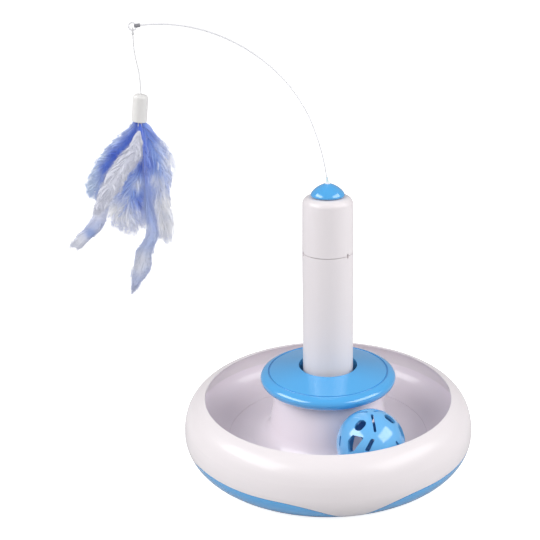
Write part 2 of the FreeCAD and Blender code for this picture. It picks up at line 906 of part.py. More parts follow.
# Gears: involute flanks above the base circle, straight roots below it
def tooth_outline(teeth, phase):
    pitch = teeth * gear_module / 2
    tip = pitch + addendum * gear_module
    root = pitch - dedendum * gear_module
    base = pitch * math.cos(math.radians(pressure_angle))
    spread = math.tan(math.radians(pressure_angle)) - math.radians(pressure_angle)
    half = (math.pi * gear_module / 2 - gear_backlash) / (2 * pitch) + spread
    start = max(base, root)
    points = []
    for i in range(teeth):
        middle = math.radians(phase) + 2 * math.pi * i / teeth
        flank = []
        for k in range(4):
            r = start + (tip - start) * k / 3
            a = math.acos(min(1.0, base / r))
            flank.append((r, half - (math.tan(a) - a)))
        side = [(root, flank[0][1] * 0.92)] if start > root + 0.01 else []
        side += flank
        points += [(r, middle - a) for r, a in side]
        points += [(r, middle + a) for r, a in side[::-1]]
    return [V(r * math.cos(a), r * math.sin(a), 0) for r, a in points]


def gear(teeth, phase, z0, z1, x, y):
    points = tooth_outline(teeth, phase)
    face = Part.Face(Part.makePolygon(points + points[:1]))
    solid = face.extrude(V(0, 0, z1 - z0))
    solid.translate(V(x, y, z0))
    return solid


def centre_distance():
    return gear_module * (small_teeth + large_teeth) / 2


def half_tooth(teeth):
    return 180.0 / teeth


def layer_z(step):
    return gear_base_z + step * (gear_w + gear_gap)


def compound_gear(step, on_pin):
    """Large wheel in layer step with the small wheel of the next layer on it."""
    y = centre_distance() if on_pin else 0.0
    toward = 270.0 if on_pin else 90.0
    z0, z1 = layer_z(step), layer_z(step) + gear_w
    wheel = gear(large_teeth, toward + half_tooth(large_teeth), z0, z1, 0, y)
    top = layer_z(step + 1) + gear_w
    both = wheel.fuse(gear(small_teeth, toward, z1 - run_gap, top, 0, y))
    return both.cut(rod(gear_pin_r + run_gap, z0 - 1, top + 1, 0, y))


def motor_pinion():
    pinion = gear(small_teeth, 90.0, layer_z(0), layer_z(0) + gear_w, 0, 0)
    return pinion.cut(rod(motor_shaft_r, 0, dome_top_z))


def output_gear():
    z0 = layer_z(3)
    wheel = gear(large_teeth, 90.0 + half_tooth(large_teeth), z0, z0 + gear_w, 0, 0)
    return wheel.cut(rod(shaft_r, 0, dome_top_z))


def cover_z():
    return layer_z(3) + gear_w + gear_gap + cover_gap


def pillar_spots():
    return [polar(pillar_ring, a) for a in (200, 270, 340)]


def gear_frame():
    plate = rod(head_inner_r() - cover_gap, gear_frame_z(), gear_frame_z() + frame_t)
    plate = plate.cut(rod(motor_boss_r, 0, dome_top_z))
    for spot in pillar_spots():
        plate = plate.fuse(rod(pillar_r, gear_frame_z(), cover_z(), spot.x, spot.y))
    return plate.cut(rod(gear_pin_r, 0, dome_top_z, 0, centre_distance()))


def gear_cover():
    plate = rod(head_inner_r() - cover_gap, cover_z(), cover_z() + frame_t)
    plate = plate.cut(rod(bush_r, 0, dome_top_z))
    plate = plate.cut(rod(gear_pin_r, 0, dome_top_z, 0, centre_distance()))
    for spot in pillar_spots():
        plate = plate.cut(rod(cover_screw_r, 0, dome_top_z, spot.x, spot.y))
    return plate


def cover_screws():
    screws = []
    for spot in pillar_spots():
        top = cover_z() + frame_t
        head = rod(cover_head_r, top, top + cover_head_h, spot.x, spot.y)
        screws.append(head.fuse(rod(cover_screw_r, cover_z(), top, spot.x, spot.y)))
    return Part.makeCompound(screws)


def gear_pin():
    return rod(gear_pin_r, gear_frame_z(), cover_z() + frame_t, 0, centre_distance())


def output_shaft():
    return rod(shaft_r, layer_z(1) + run_gap, dome_z + shaft_in_dome)


def shaft_bush():
    bush = rod(bush_r, cover_z(), head_top_z - cover_gap)
    flange_z = cover_z() + frame_t
    flange = rod(bush_flange_r, flange_z, head_top_z - head_lid)
    return bush.fuse(flange).cut(rod(shaft_r + run_gap, 0, dome_top_z))


def switch_y():
    return motor_flat + switch_off


def switch_body():
    y0, y1 = switch_y(), switch_y() + switch_d
    middle = switch_z - switch_travel / 2
    case = block(-switch_w / 2, switch_w / 2, y0, y1, middle - switch_h, middle + switch_h)
    half_w, half_h = knob_w / 2 + way_gap, knob_h / 2 + way_gap
    way = block(-half_w, half_w, y1 - knob_in - way_gap / 2, y1 + 1,
                switch_z - half_h - switch_travel, switch_z + half_h)
    return case.cut(way)


def switch_slider():
    y0, y1 = switch_y() + switch_d - knob_in, head_top_r + knob_out
    knob = block(-knob_w / 2, knob_w / 2, y0, y1, switch_z - knob_h / 2, switch_z + knob_h / 2)
    outer = [e for e in knob.Edges if e.BoundBox.YMin > y1 - 0.1]
    return knob.makeFillet(knob_round, outer)


def lead_wires():
    """Leads from the base plate up to the motor tabs, clear of the can."""
    leads = []
    z0 = head_bottom_z() - spigot_len
    z1 = motor_z - motor_tab_len / 2
    for side in (-1, 1):
        beside = side * (motor_tab_t / 2 + lead_r + lead_skin)
        y = side * finger_y
        points = [V(0, y, z0), V(0, y, z0 + lead_rise), V(side * motor_tab_x, beside, z1)]
        leads.append(corner_tube(points, lead_r, lead_bend))
    return Part.makeCompound(leads)


def corner_tube(points, radius, share):
    """Tube along straight runs joined by tangent arcs."""
    edges, radii, here = [], [], points[0]
    for before, at, after in zip(points, points[1:], points[2:]):
        to_at = (at - before).normalize()
        onward = (after - at).normalize()
        turn = math.acos(max(-1.0, min(1.0, to_at.dot(onward))))
        cut = share * min((at - before).Length, (after - at).Length)
        arc_r = cut / math.tan(turn / 2)
        start, end = at - to_at * cut, at + onward * cut
        inward = (onward - to_at).normalize()
        middle = at + inward * (arc_r / math.cos(turn / 2) - arc_r)
        if (start - here).Length > 1e-4:
            edges.append(line(here, start))
        edges.append(Part.Arc(start, middle, end).toShape())
        radii.append(arc_r)
        here = end
    edges.append(line(here, points[-1]))
    path = Part.Wire(edges)
    circle = Part.Circle(points[0], (points[1] - points[0]).normalize(), radius)
    section = Part.Wire([circle.toShape()])
    tube = path.makePipeShell([section], True, True)
    expected = math.pi * radius ** 2 * path.Length
    print("tube length %.1f volume %.2f expected %.2f radii %s" % (
        path.Length, tube.Volume, expected, ["%.1f" % r for r in radii]))
    return tube


def rotor_dome():
    outer = dome_solid(0)
    inner = dome_solid(dome_wall)
    inner.translate(V(0, 0, -dome_open))
    dome = outer.cut(inner.common(rod(dome_r, dome_z - 1, dome_top_z)))
    dome = dome.fuse(rod(dome_boss_r, dome_z, dome_top_z - dome_wall)).common(outer)
    dome = dome.cut(rod(shaft_r, 0, dome_z + shaft_in_dome))
    dome = dome.cut(Part.makeSphere(bead_r + bead_gap, V(0, 0, bead_z)))
    return dome


def dome_solid(inset):
    """Rounded dome: a short upright skirt, then a pointed oval to the top."""
    out = dome_r - inset
    z0 = dome_z + dome_skirt
    up = dome_top_z - z0 - inset
    steps = 8
    curve = []
    for i in range(steps + 1):
        t = math.pi / 2 * i / steps
        dr = out * math.cos(t) ** (2 / dome_fullness)
        curve.append(V(dr, 0, z0 + up * math.sin(t) ** (2 / dome_fullness)))
    foot = V(out - dome_draft, 0, dome_z)
    edges = [line(V(0, 0, dome_z), foot), line(foot, curve[0]), smooth(curve),
             line(curve[-1], V(0, 0, dome_z))]
    return spin_profile(edges)


def wire_collar():
    bead = Part.makeSphere(bead_r, V(0, 0, bead_z))
    lean = wire_direction(wire_lean)
    foot = V(0, 0, bead_z) + lean * (bead_r - neck_in)
    collar = bead.fuse(Part.makeCone(neck_r, wire_r + neck_tip, neck_h, foot, lean))
    return collar.cut(Part.makeCylinder(wire_r, 2 * (bead_r + neck_h), V(0, 0, bead_z), lean))


def wire_direction(lean_degrees):
    a = math.radians(lean_degrees)
    return V(-math.sin(a), 0, math.cos(a))


def wire_path():
    """Edges of tangent arcs, with the end point and its direction."""
    here, lean, edges = V(0, 0, bead_z), wire_lean, []
    for length, turn in wire_bends:
        radius = length / math.radians(turn)
        chord = 2 * radius * math.sin(math.radians(turn) / 2)
        end = here + wire_direction(lean + turn / 2) * chord
        sag = radius * (1 - math.cos(math.radians(turn) / 2))
        side = V(math.cos(math.radians(lean + turn / 2)), 0, math.sin(math.radians(lean + turn / 2)))
        edges.append(Part.Arc(here, (here + end) * 0.5 + side * sag, end).toShape())
        here, lean = end, lean + turn
    return edges, here, lean


def wand_wire():
    edges, end, lean = wire_path()
    circle = Part.Circle(V(0, 0, bead_z), wire_direction(wire_lean), wire_r)
    stem = Part.Wire(edges).makePipeShell([Part.Wire([circle.toShape()])], True, True)
    eye = Part.makeTorus(eye_r, wire_r, eye_centre(), V(0, 1, 0))
    return stem.fuse(eye)


def eye_centre():
    """The eye goes on straight from the wire's end."""
    edges, end, lean = wire_path()
    return end + wire_direction(lean) * eye_r


def eye_low():
    return eye_centre() + V(0, 0, -eye_r)


def wire_crimp():
    """Barrel over the joint of wire and eye."""
    edges, end, lean = wire_path()
    along = wire_direction(lean)
    barrel = Part.makeCylinder(crimp_r, crimp_len, end - along * crimp_len * crimp_share, along)
    rims = [e for e in barrel.Edges if abs(e.Length - 2 * math.pi * crimp_r) < 0.01]
    return barrel.makeFillet(crimp_round, rims).cut(wand_wire())


def string_link():
    """The string's tied loop through the wire eye, with its knot."""
    loop = Part.makeTorus(link_r, link_wire, eye_low(), V(1, 0, 0))
    return loop.fuse(string_knot())


def string_knot():
    return Part.makeSphere(knot_r, eye_low() - UP * (link_r + knot_r - knot_sink))


def string_route():
    top = eye_low()
    first = top - V(0, 0, string_start)
    return [first] + [top + V(x, 0, z) for x, z in string_points]


def lure_string():
    return corner_tube(string_route(), string_r, string_bend).cut(string_knot())


def cap_top():
    return string_route()[-1] + UP * string_in


def cap_axis():
    a = math.radians(fcap_tilt)
    return V(-math.sin(a), 0, -math.cos(a))


def feather_cap():
    body = Part.makeCylinder(fcap_r, fcap_len, cap_top(), cap_axis())
    for radius, lowest in ((fcap_top_round, False), (fcap_low_round, True)):
        rims = [e for e in body.Edges if abs(e.Length - 2 * math.pi * fcap_r) < 0.1]
        rims.sort(key=lambda e: e.BoundBox.Center.z, reverse=not lowest)
        body = body.makeFillet(radius, rims[:1])
    mouth = cap_top() + cap_axis() * (fcap_len - quill_in - 1)
    body = body.cut(Part.makeCylinder(fcap_r - fcap_wall, quill_in + 2, mouth, cap_axis()))
    return body.cut(lure_string())


# Feathers: stations down each blade as (height, middle x, middle y, half width, half depth)
feather_stations = {
    "feather_white_front": [(233.5, -119.0, -2.2, 0.9, 0.5), (226, -120.8, -5.6, 2.4, 1.1),
                            (214, -126.2, -9.4, 7.2, 1.7), (202, -134.3, -12.0, 7.0, 1.8),
                            (192, -141.0, -13.6, 5.8, 1.5), (181, -147.6, -14.6, 2.2, 0.7)],
    "feather_blue_left": [(233.5, -121.2, -0.6, 0.9, 0.5), (226, -127.6, -1.2, 3.4, 1.1),
                          (218, -135.2, -2.2, 5.6, 1.7), (208, -143.6, -3.4, 5.6, 1.7),
                          (199, -149.4, -4.4, 4.9, 1.5), (191, -152.4, -5.2, 2.4, 0.7)],
    "feather_long_left": [(233.5, -120.1, 1.2, 0.7, 0.5), (220, -124.4, 2.2, 1.8, 0.9),
                          (200, -133.6, 3.0, 3.0, 1.0), (182, -143.4, 2.4, 4.2, 1.2),
                          (166, -151.7, 1.0, 6.0, 1.1), (158, -159.6, 0.2, 6.8, 0.9),
                          (152, -166.6, -0.4, 3.4, 0.5)],
    "feather_centre_fluff": [(233.5, -118.2, -0.4, 0.8, 0.5), (222, -118.6, -1.4, 4.6, 1.5),
                             (206, -121.2, -3.0, 7.4, 2.6), (190, -124.4, -3.4, 8.6, 2.8),
                             (174, -127.2, -3.0, 9.0, 2.2), (163, -128.6, -2.6, 4.2, 0.8)],
    "feather_long_right": [(233.5, -117.5, -2.0, 0.8, 0.6), (218, -115.4, -6.4, 1.8, 0.9),
                           (196, -114.2, -9.6, 2.6, 1.0), (172, -114.6, -10.6, 3.9, 1.2),
                           (152, -120.3, -9.6, 5.9, 1.2), (139, -123.2, -8.7, 6.6, 1.0),
                           (122.5, -129.8, -7.6, 0.9, 0.5)],
    "feather_right_fluff": [(233.5, -116.7, 0.4, 0.8, 0.5), (222, -111.2, 1.4, 4.6, 1.5),
                            (208, -107.4, 2.2, 7.2, 2.8), (192, -107.2, 2.6, 7.4, 3.0),
                            (176, -108.4, 2.4, 6.8, 2.4), (159, -108.8, 2.0, 3.0, 0.9)],
    "feather_back_fluff": [(233.5, -118.4, 2.2, 0.8, 0.5), (220, -118.8, 8.0, 4.6, 1.6),
                           (204, -120.4, 13.0, 8.0, 3.0), (188, -122.2, 14.4, 9.0, 3.2),
                           (172, -123.4, 14.0, 8.0, 2.4), (160, -124.0, 13.2, 3.4, 0.9)],
}


def ellipse_wire(z, x, y, half_w, half_d):
    curve = Part.Ellipse(V(x, y, z), half_w, half_d)
    return Part.Wire([curve.toShape()])


def feather(name):
    return Part.makeLoft([ellipse_wire(*station) for station in feather_stations[name]], True, False)


def feather_quills():
    """Stems from inside the cap, cut flush with the tops of the blades."""
    quills = []
    for stations in feather_stations.values():
        z, x, y = stations[0][:3]
        foot = V(x, y, z) + cap_axis() * merge
        stem = Part.makeCylinder(quill_r, quill_in - 2 + merge, foot, cap_axis() * -1)
        quills.append(stem.cut(block(x - fcap_r, x + fcap_r, y - fcap_r, y + fcap_r, z - fcap_r, z)))
    return Part.makeCompound(quills)


def main():
    os.makedirs("parts", exist_ok=True)
    makers = {
        "base_pan": base_pan, "rim_shell": rim_shell, "track_tray": track_tray,
        "base_screws": base_screws, "non_slip_feet": non_slip_feet, "hub_cap": hub_cap,
        "ball_upper_half": lambda: ball_half(True), "ball_lower_half": lambda: ball_half(False),
        "bell_shell": bell_shell, "bell_pellet": bell_pellet,
        "post_tube": post_tube, "battery_carrier": battery_carrier,
        "aa_cell_left": lambda: aa_cell(-1), "aa_cell_right": lambda: aa_cell(1),
        "bridge_contact": bridge_contact, "terminal_contacts": terminal_contacts,
        "contact_disc": contact_disc, "contact_rings": contact_rings,
        "head_shell": head_shell, "head_base": head_base, "contact_fingers": contact_fingers,
        "motor_can": motor_can, "motor_end_cap": motor_end_cap, "motor_shaft": motor_shaft,
        "motor_armature": motor_armature, "motor_pinion": motor_pinion,
        "first_gear": lambda: compound_gear(0, True),
        "second_gear": lambda: compound_gear(1, False),
        "third_gear": lambda: compound_gear(2, True),
        "output_gear": output_gear, "output_shaft": output_shaft, "shaft_bush": shaft_bush,
        "gear_frame": gear_frame, "gear_cover": gear_cover, "gear_pin": gear_pin,
        "cover_screws": cover_screws, "switch_body": switch_body, "switch_slider": switch_slider,
        "lead_wires": lead_wires, "rotor_dome": rotor_dome, "wire_collar": wire_collar,
        "wand_wire": wand_wire, "wire_crimp": wire_crimp, "string_link": string_link,
        "lure_string": lure_string, "feather_cap": feather_cap, "feather_quills": feather_quills,
    }
    for name in feather_stations:
        makers[name] = lambda name=name: feather(name)
    for name, maker in makers.items():
        shape = maker()
        print("%-22s solids %d volume %9.1f valid %s" % (
            name, len(shape.Solids), shape.Volume, shape.isValid()))
        shape.exportStep("parts/%s.step" % name)


main()
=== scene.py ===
import json
import math

import bpy
import numpy as np
from mathutils import Matrix, Vector


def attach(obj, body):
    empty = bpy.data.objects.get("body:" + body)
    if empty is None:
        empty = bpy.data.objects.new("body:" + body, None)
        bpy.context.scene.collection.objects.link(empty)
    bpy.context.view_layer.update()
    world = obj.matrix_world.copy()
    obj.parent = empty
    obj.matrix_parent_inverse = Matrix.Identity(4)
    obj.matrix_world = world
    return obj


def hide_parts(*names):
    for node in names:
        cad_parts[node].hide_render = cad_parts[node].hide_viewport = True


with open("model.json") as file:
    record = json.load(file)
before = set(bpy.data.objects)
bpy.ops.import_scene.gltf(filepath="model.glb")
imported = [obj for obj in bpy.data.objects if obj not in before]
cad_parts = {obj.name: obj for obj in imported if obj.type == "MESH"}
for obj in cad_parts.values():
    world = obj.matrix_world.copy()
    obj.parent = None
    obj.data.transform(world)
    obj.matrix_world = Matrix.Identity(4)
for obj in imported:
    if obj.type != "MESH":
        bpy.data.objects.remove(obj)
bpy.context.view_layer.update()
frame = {"nodes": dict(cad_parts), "record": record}
mm = 0.001
scene = bpy.context.scene
cadNodes = frame["nodes"]
print("frame loaded:", len(cadNodes), "nodes")


# mesh helpers: everything is worked out as whole arrays, in mm, and put into a mesh in one go
def meshFromArrays(name, verts, faceSets, uv, attributes):
    # mesh from vertex rows and sets of face rows; uv and each attribute have one entry for each vertex
    faceSets = [np.asarray(f, np.int32) for f in faceSets]
    loops = np.concatenate([f.ravel() for f in faceSets])
    sizes = np.concatenate([np.full(len(f), f.shape[1], np.int32) for f in faceSets])
    starts = np.concatenate([[0], np.cumsum(sizes)[:-1]]).astype(np.int32)
    mesh = bpy.data.meshes.new(name)
    mesh.vertices.add(len(verts))
    mesh.vertices.foreach_set("co", (np.asarray(verts, float) * mm).astype(np.float32).ravel())
    mesh.loops.add(len(loops))
    mesh.loops.foreach_set("vertex_index", loops)
    mesh.polygons.add(len(sizes))
    mesh.polygons.foreach_set("loop_start", starts)
    mesh.polygons.foreach_set("use_smooth", np.ones(len(sizes), bool))
    layer = mesh.uv_layers.new(name="UVMap")
    layer.data.foreach_set("uv", np.asarray(uv, np.float32)[loops].ravel())
    for key, values in attributes.items():
        layer = mesh.attributes.new(key, "FLOAT", "POINT")
        layer.data.foreach_set("value", np.asarray(values, np.float32).ravel())
    mesh.update(calc_edges=True)
    mesh.validate()
    return mesh


def addPiece(name, mesh, body, material, replaces):
    piece = bpy.data.objects.new(name, mesh)
    scene.collection.objects.link(piece)
    mesh.materials.append(material)
    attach(piece, body)
    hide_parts(*replaces)


def ringFaces(rows, columns):
    # quads of a grid of rows x columns vertices whose last column joins the first
    r, c = np.meshgrid(np.arange(rows - 1), np.arange(columns), indexing="ij")
    r2, c2 = r + 1, (c + 1) % columns
    quads = np.stack([r * columns + c, r * columns + c2, r2 * columns + c2, r2 * columns + c], -1)
    return quads.reshape(-1, 4)


def unit(v):
    return v / np.maximum(np.linalg.norm(v, axis=-1, keepdims=True), 1e-9)


def smoothPath(points, count):
    # Catmull-Rom curve through the points, evenly spread in the point number
    p = np.asarray(points, float)
    p = np.vstack([2 * p[0] - p[1], p, 2 * p[-1] - p[-2]])
    t = np.linspace(0, len(p) - 3 - 1e-6, count)
    i = t.astype(int)
    f = (t - i)[:, None]
    a, b, c, d = p[i], p[i + 1], p[i + 2], p[i + 3]
    return 0.5 * (2 * b + (c - a) * f + (2 * a - 5 * b + 4 * c - d) * f ** 2
                  + (3 * b - a - 3 * c + d) * f ** 3)


def closedTubes(paths, radii, sides=3, flat=1.0):
    # paths is (n, m, 3) and radii (n, m); each path point has a ring of points, the k-th at the angle
    # 2 pi k / sides about the path, with its depth times flat; both ends are closed by a face
    n, m = paths.shape[:2]
    tangent = unit(np.gradient(paths, axis=1))
    reference = np.where(np.abs(tangent[..., 1:2]) < 0.9, np.array([0, 1.0, 0]), np.array([1.0, 0, 0]))
    sideA = unit(np.cross(tangent, reference))
    sideB = np.cross(tangent, sideA)
    angle = 2 * np.pi * np.arange(sides) / sides
    ring = (sideA[:, :, None] * np.cos(angle)[:, None]
            + sideB[:, :, None] * (flat * np.sin(angle))[:, None])
    verts = (paths[:, :, None] + ring * radii[:, :, None, None]).reshape(-1, 3)
    base = np.arange(n)[:, None, None] * (m * sides)
    row = base + np.arange(m - 1)[None, :, None] * sides
    k = np.arange(sides)[None, None, :]
    k2 = (k + 1) % sides
    quads = np.stack([row + k, row + k2, row + sides + k2, row + sides + k], -1)
    start = base[:, 0] + np.arange(sides)[None, ::-1]
    end = base[:, 0] + (m - 1) * sides + np.arange(sides)[None]
    return verts, quads.reshape(-1, 4), start, end


# shader groups: each puts out only colours, values and normals
def newGroup(name, inputs, outputs):
    tree = bpy.data.node_groups.new(name, "ShaderNodeTree")
    for label, kind, value in inputs:
        socket = tree.interface.new_socket(name=label, in_out="INPUT", socket_type=kind)
        socket.default_value = value
    for label, kind in outputs:
        tree.interface.new_socket(name=label, in_out="OUTPUT", socket_type=kind)
    return tree, tree.nodes.new("NodeGroupInput").outputs, tree.nodes.new("NodeGroupOutput")


def setInputs(tree, node, inputs):
    # an input that is given a socket is linked to it, and any other takes its value
    for key, value in inputs.items():
        if hasattr(value, "is_output"):
            tree.links.new(value, node.inputs[key])
        else:
            node.inputs[key].default_value = value


def addNode(tree, kind, inputs=None, **properties):
    node = tree.nodes.new(kind)
    for key, value in properties.items():
        setattr(node, key, value)
    setInputs(tree, node, inputs or {})
    return node


def noiseNode(tree, place, scale, detail):
    node = addNode(tree, "ShaderNodeTexNoise", {"Vector": place, "Scale": scale, "Detail": detail})
    return node.outputs["Fac"]


def mathNode(tree, operation, a, b):
    return addNode(tree, "ShaderNodeMath", {0: a, 1: b}, operation=operation).outputs[0]


def mixColour(tree, factor, a, b):
    return addNode(tree, "ShaderNodeMix", {0: factor, 6: a, 7: b}, data_type="RGBA").outputs[2]


def attributeNode(tree, name):
    return addNode(tree, "ShaderNodeAttribute", attribute_name=name).outputs["Fac"]


# what a group's sockets carry
colour, number, vector = "NodeSocketColor", "NodeSocketFloat", "NodeSocketVector"


def buildMouldGroup():
    # moulded surface: slow clouds of shade and gloss, and a fine orange-peel relief
    mould = dict(cloudScale=14.0, cloudDetail=3.0, grainDetail=2.0, glossSpread=0.14, reliefDepth=0.0003)
    tree, given, result = newGroup(
        "mouldedSurface",
        [("Colour", colour, (1, 1, 1, 1)), ("Shade", colour, (0.8, 0.8, 0.8, 1)), ("Cloud", number, 0.15),
         ("Rough", number, 0.3), ("Relief", number, 0.1), ("Grain", number, 900.0)],
        [("Colour", colour), ("Rough", number), ("Normal", vector)])
    place = addNode(tree, "ShaderNodeTexCoord").outputs["Object"]
    slow = noiseNode(tree, place, mould["cloudScale"], mould["cloudDetail"])
    fine = noiseNode(tree, place, given["Grain"], mould["grainDetail"])
    cloud = mathNode(tree, "MULTIPLY", slow, given["Cloud"])
    spread = mathNode(tree, "MULTIPLY", mathNode(tree, "SUBTRACT", slow, 0.5), mould["glossSpread"])
    bump = addNode(tree, "ShaderNodeBump", {"Height": fine, "Strength": given["Relief"],
                                            "Distance": mould["reliefDepth"]})
    setInputs(tree, result, {"Colour": mixColour(tree, cloud, given["Colour"], given["Shade"]),
                             "Rough": mathNode(tree, "ADD", given["Rough"], spread),
                             "Normal": bump.outputs["Normal"]})
    return tree


def buildDyeGroup():
    # feather colour: root to tip along the feather, stem to edge across it, with streaks along the barbs
    # and the dye spots of the attribute "tone"
    dyeing = dict(combing=(150.0, 3.0, 1.0), strandDetail=3.0, blotchScale=85.0, blotchDetail=2.0,
                  blotchShift=0.7, rootFrom=0.01, edgePower=1.5, ridge=0.6, ridgeDepth=0.0004)
    tree, given, result = newGroup(
        "featherDye",
        [("Root", colour, (0, 0, 1, 1)), ("Middle", colour, (0.3, 0.4, 0.8, 1)),
         ("Tip", colour, (1, 1, 1, 1)), ("Deep", colour, (0, 0, 0.5, 1)), ("Edge", number, 0.4),
         ("Streak", number, 0.3), ("Root End", number, 0.4), ("Tip Start", number, 0.4)],
        [("Colour", colour), ("Normal", vector)])
    along, outward, tone = (attributeNode(tree, name) for name in ("along", "outward", "tone"))
    places = addNode(tree, "ShaderNodeTexCoord").outputs
    combed = addNode(tree, "ShaderNodeMapping", {"Vector": places["UV"], "Scale": dyeing["combing"]})
    strand = noiseNode(tree, combed.outputs["Vector"], 1.0, dyeing["strandDetail"])
    blotch = noiseNode(tree, places["Object"], dyeing["blotchScale"], dyeing["blotchDetail"])
    shift = mathNode(tree, "MULTIPLY", mathNode(tree, "SUBTRACT", blotch, 0.5), dyeing["blotchShift"])
    position = mathNode(tree, "ADD", along, mathNode(tree, "MULTIPLY", shift, along))
    fromRoot = addNode(tree, "ShaderNodeMapRange", {"Value": position, "From Min": dyeing["rootFrom"],
                                                    "From Max": given["Root End"]})
    toTip = addNode(tree, "ShaderNodeMapRange", {"Value": position, "From Min": given["Tip Start"]})
    rim = mathNode(tree, "POWER", outward, dyeing["edgePower"])
    edge = mathNode(tree, "MULTIPLY", rim, given["Edge"])
    streak = mathNode(tree, "MULTIPLY", strand, given["Streak"])
    deeper = addNode(tree, "ShaderNodeMapRange", {"Value": tone})
    paler = addNode(tree, "ShaderNodeMapRange", {"Value": mathNode(tree, "MULTIPLY", tone, -1.0)})
    body = mixColour(tree, fromRoot.outputs[0], given["Root"], given["Middle"])
    for factor, name in ((toTip.outputs[0], "Tip"), (edge, "Tip"), (streak, "Root"),
                         (deeper.outputs[0], "Deep"), (paler.outputs[0], "Tip")):
        body = mixColour(tree, factor, body, given[name])
    ridge = addNode(tree, "ShaderNodeBump", {"Height": strand, "Strength": dyeing["ridge"],
                                             "Distance": dyeing["ridgeDepth"]})
    setInputs(tree, result, {"Colour": body, "Normal": ridge.outputs["Normal"]})
    return tree


mouldedSurface = buildMouldGroup()
featherDye = buildDyeGroup()


def newMaterial(name):
    material = bpy.data.materials.new(name)
    material.use_nodes = True
    tree = material.node_tree
    return material, tree, tree.nodes["Principled BSDF"]


def mouldedMaterial(name, look):
    # plastic, rubber or metal with the moulded surface group; constants are on the shader's own sockets
    look = {**plainLook, **look}
    material, tree, shader = newMaterial(name)
    group = addNode(tree, "ShaderNodeGroup", {
        "Colour": (*look["colour"], 1), "Shade": (*look["shade"], 1), "Cloud": look["cloud"],
        "Rough": look["rough"], "Relief": look["relief"], "Grain": look["grain"]},
        node_tree=mouldedSurface)
    setInputs(tree, shader, {
        "Base Color": group.outputs["Colour"], "Roughness": group.outputs["Rough"],
        "Normal": group.outputs["Normal"], "Metallic": look["metallic"], "IOR": look["ior"],
        "Coat Weight": look["coat"], "Coat Roughness": look["coatRough"], "Coat IOR": look["coatIor"],
        "Subsurface Weight": look["depth"], "Subsurface Scale": look["depthScale"]})
    return material


# what a finish has unless it says otherwise (depth is the light that goes under its surface), and the
# gloss of the toy's blue
plainLook = dict(cloud=0.3, rough=0.3, relief=0.08, grain=900.0, metallic=0.0, coat=0.0, coatRough=0.1,
                 coatIor=1.5, ior=1.5, depth=0.0, depthScale=0.004)
blueGloss = dict(rough=0.2, coat=1.0, coatRough=0.06, coatIor=1.6, relief=0.04)

# one look for each finish of the toy; colours are linear
finishes = {
    "blue_plastic": dict(blueGloss, colour=(0.07, 0.40, 0.80), shade=(0.05, 0.33, 0.74)),
    "ball_blue": dict(blueGloss, colour=(0.14, 0.47, 0.86), shade=(0.10, 0.41, 0.81)),
    "white_plastic": dict(colour=(0.81, 0.765, 0.775), shade=(0.75, 0.70, 0.72), rough=0.42, coat=0.45,
                          coatRough=0.13),
    # painted light and shade: the tray's copy of the white plastic is lighter and more violet, for the
    # brightness and the violet shade of its channel
    "tray_white_painted_light": dict(colour=(0.86, 0.79, 0.84), shade=(0.78, 0.71, 0.77), rough=0.42, coat=0.7,
                       coatRough=0.04),
    "cap_white": dict(colour=(0.76, 0.75, 0.73), shade=(0.64, 0.63, 0.62), rough=0.4, coat=0.15),
    "rubber_pad": dict(colour=(0.55, 0.55, 0.54), shade=(0.42, 0.42, 0.42), rough=0.75, relief=0.3,
                       grain=1500.0),
    "screw_steel": dict(colour=(0.55, 0.55, 0.56), shade=(0.35, 0.35, 0.37), rough=0.36, metallic=1.0,
                        relief=0.2),
    # the bell's blue tint is painted reflection of the blue ball round it, on a steel colour
    "bell_metal": dict(colour=(0.62, 0.66, 0.74), shade=(0.5, 0.5, 0.53), rough=0.14, metallic=1.0),
    "contact_brass": dict(colour=(0.70, 0.52, 0.22), shade=(0.5, 0.34, 0.12), rough=0.36, metallic=1.0),
    "cell_wrap": dict(colour=(0.03, 0.035, 0.045), shade=(0.09, 0.08, 0.06), rough=0.36, coat=0.4),
    "carrier_plastic": dict(colour=(0.02, 0.02, 0.022), shade=(0.05, 0.05, 0.05), rough=0.5, relief=0.2),
    "motor_steel": dict(colour=(0.6, 0.61, 0.63), shade=(0.42, 0.43, 0.45), rough=0.36, metallic=1.0,
                        grain=1800.0),
    "armature_iron": dict(colour=(0.2, 0.13, 0.09), shade=(0.32, 0.16, 0.07), rough=0.45, metallic=0.8,
                          relief=0.3),
    "gear_plastic": dict(colour=(0.80, 0.77, 0.66), shade=(0.7, 0.66, 0.54), rough=0.42, depth=0.1),
    "shaft_steel": dict(colour=(0.62, 0.62, 0.64), shade=(0.45, 0.45, 0.48), rough=0.18, metallic=1.0),
    "bush_brass": dict(colour=(0.62, 0.42, 0.17), shade=(0.45, 0.3, 0.12), rough=0.4, metallic=1.0,
                       relief=0.3),
    "switch_black": dict(colour=(0.012, 0.012, 0.014), shade=(0.03, 0.03, 0.03), rough=0.42, relief=0.2),
    "lead_pvc": dict(colour=(0.52, 0.02, 0.015), shade=(0.35, 0.01, 0.01), rough=0.4),
    "clear_sleeve": dict(colour=(0.78, 0.85, 0.9), shade=(0.6, 0.7, 0.78), rough=0.2, coat=0.5,
                         depth=0.2),
    "wire_steel": dict(colour=(0.9, 0.9, 0.92), shade=(0.75, 0.76, 0.78), rough=0.36, metallic=0.25),
    "crimp_grey": dict(colour=(0.26, 0.26, 0.28), shade=(0.14, 0.14, 0.16), rough=0.45, relief=0.3),
    "string_white": dict(colour=(0.72, 0.72, 0.72), shade=(0.5, 0.5, 0.52), rough=0.7, relief=0.6,
                         grain=2600.0),
    "quill_horn": dict(colour=(0.62, 0.64, 0.78), shade=(0.34, 0.38, 0.7), rough=0.35, depth=0.2),
}
materials = {name: mouldedMaterial(name, look) for name, look in finishes.items()}
print("finishes made:", len(materials))
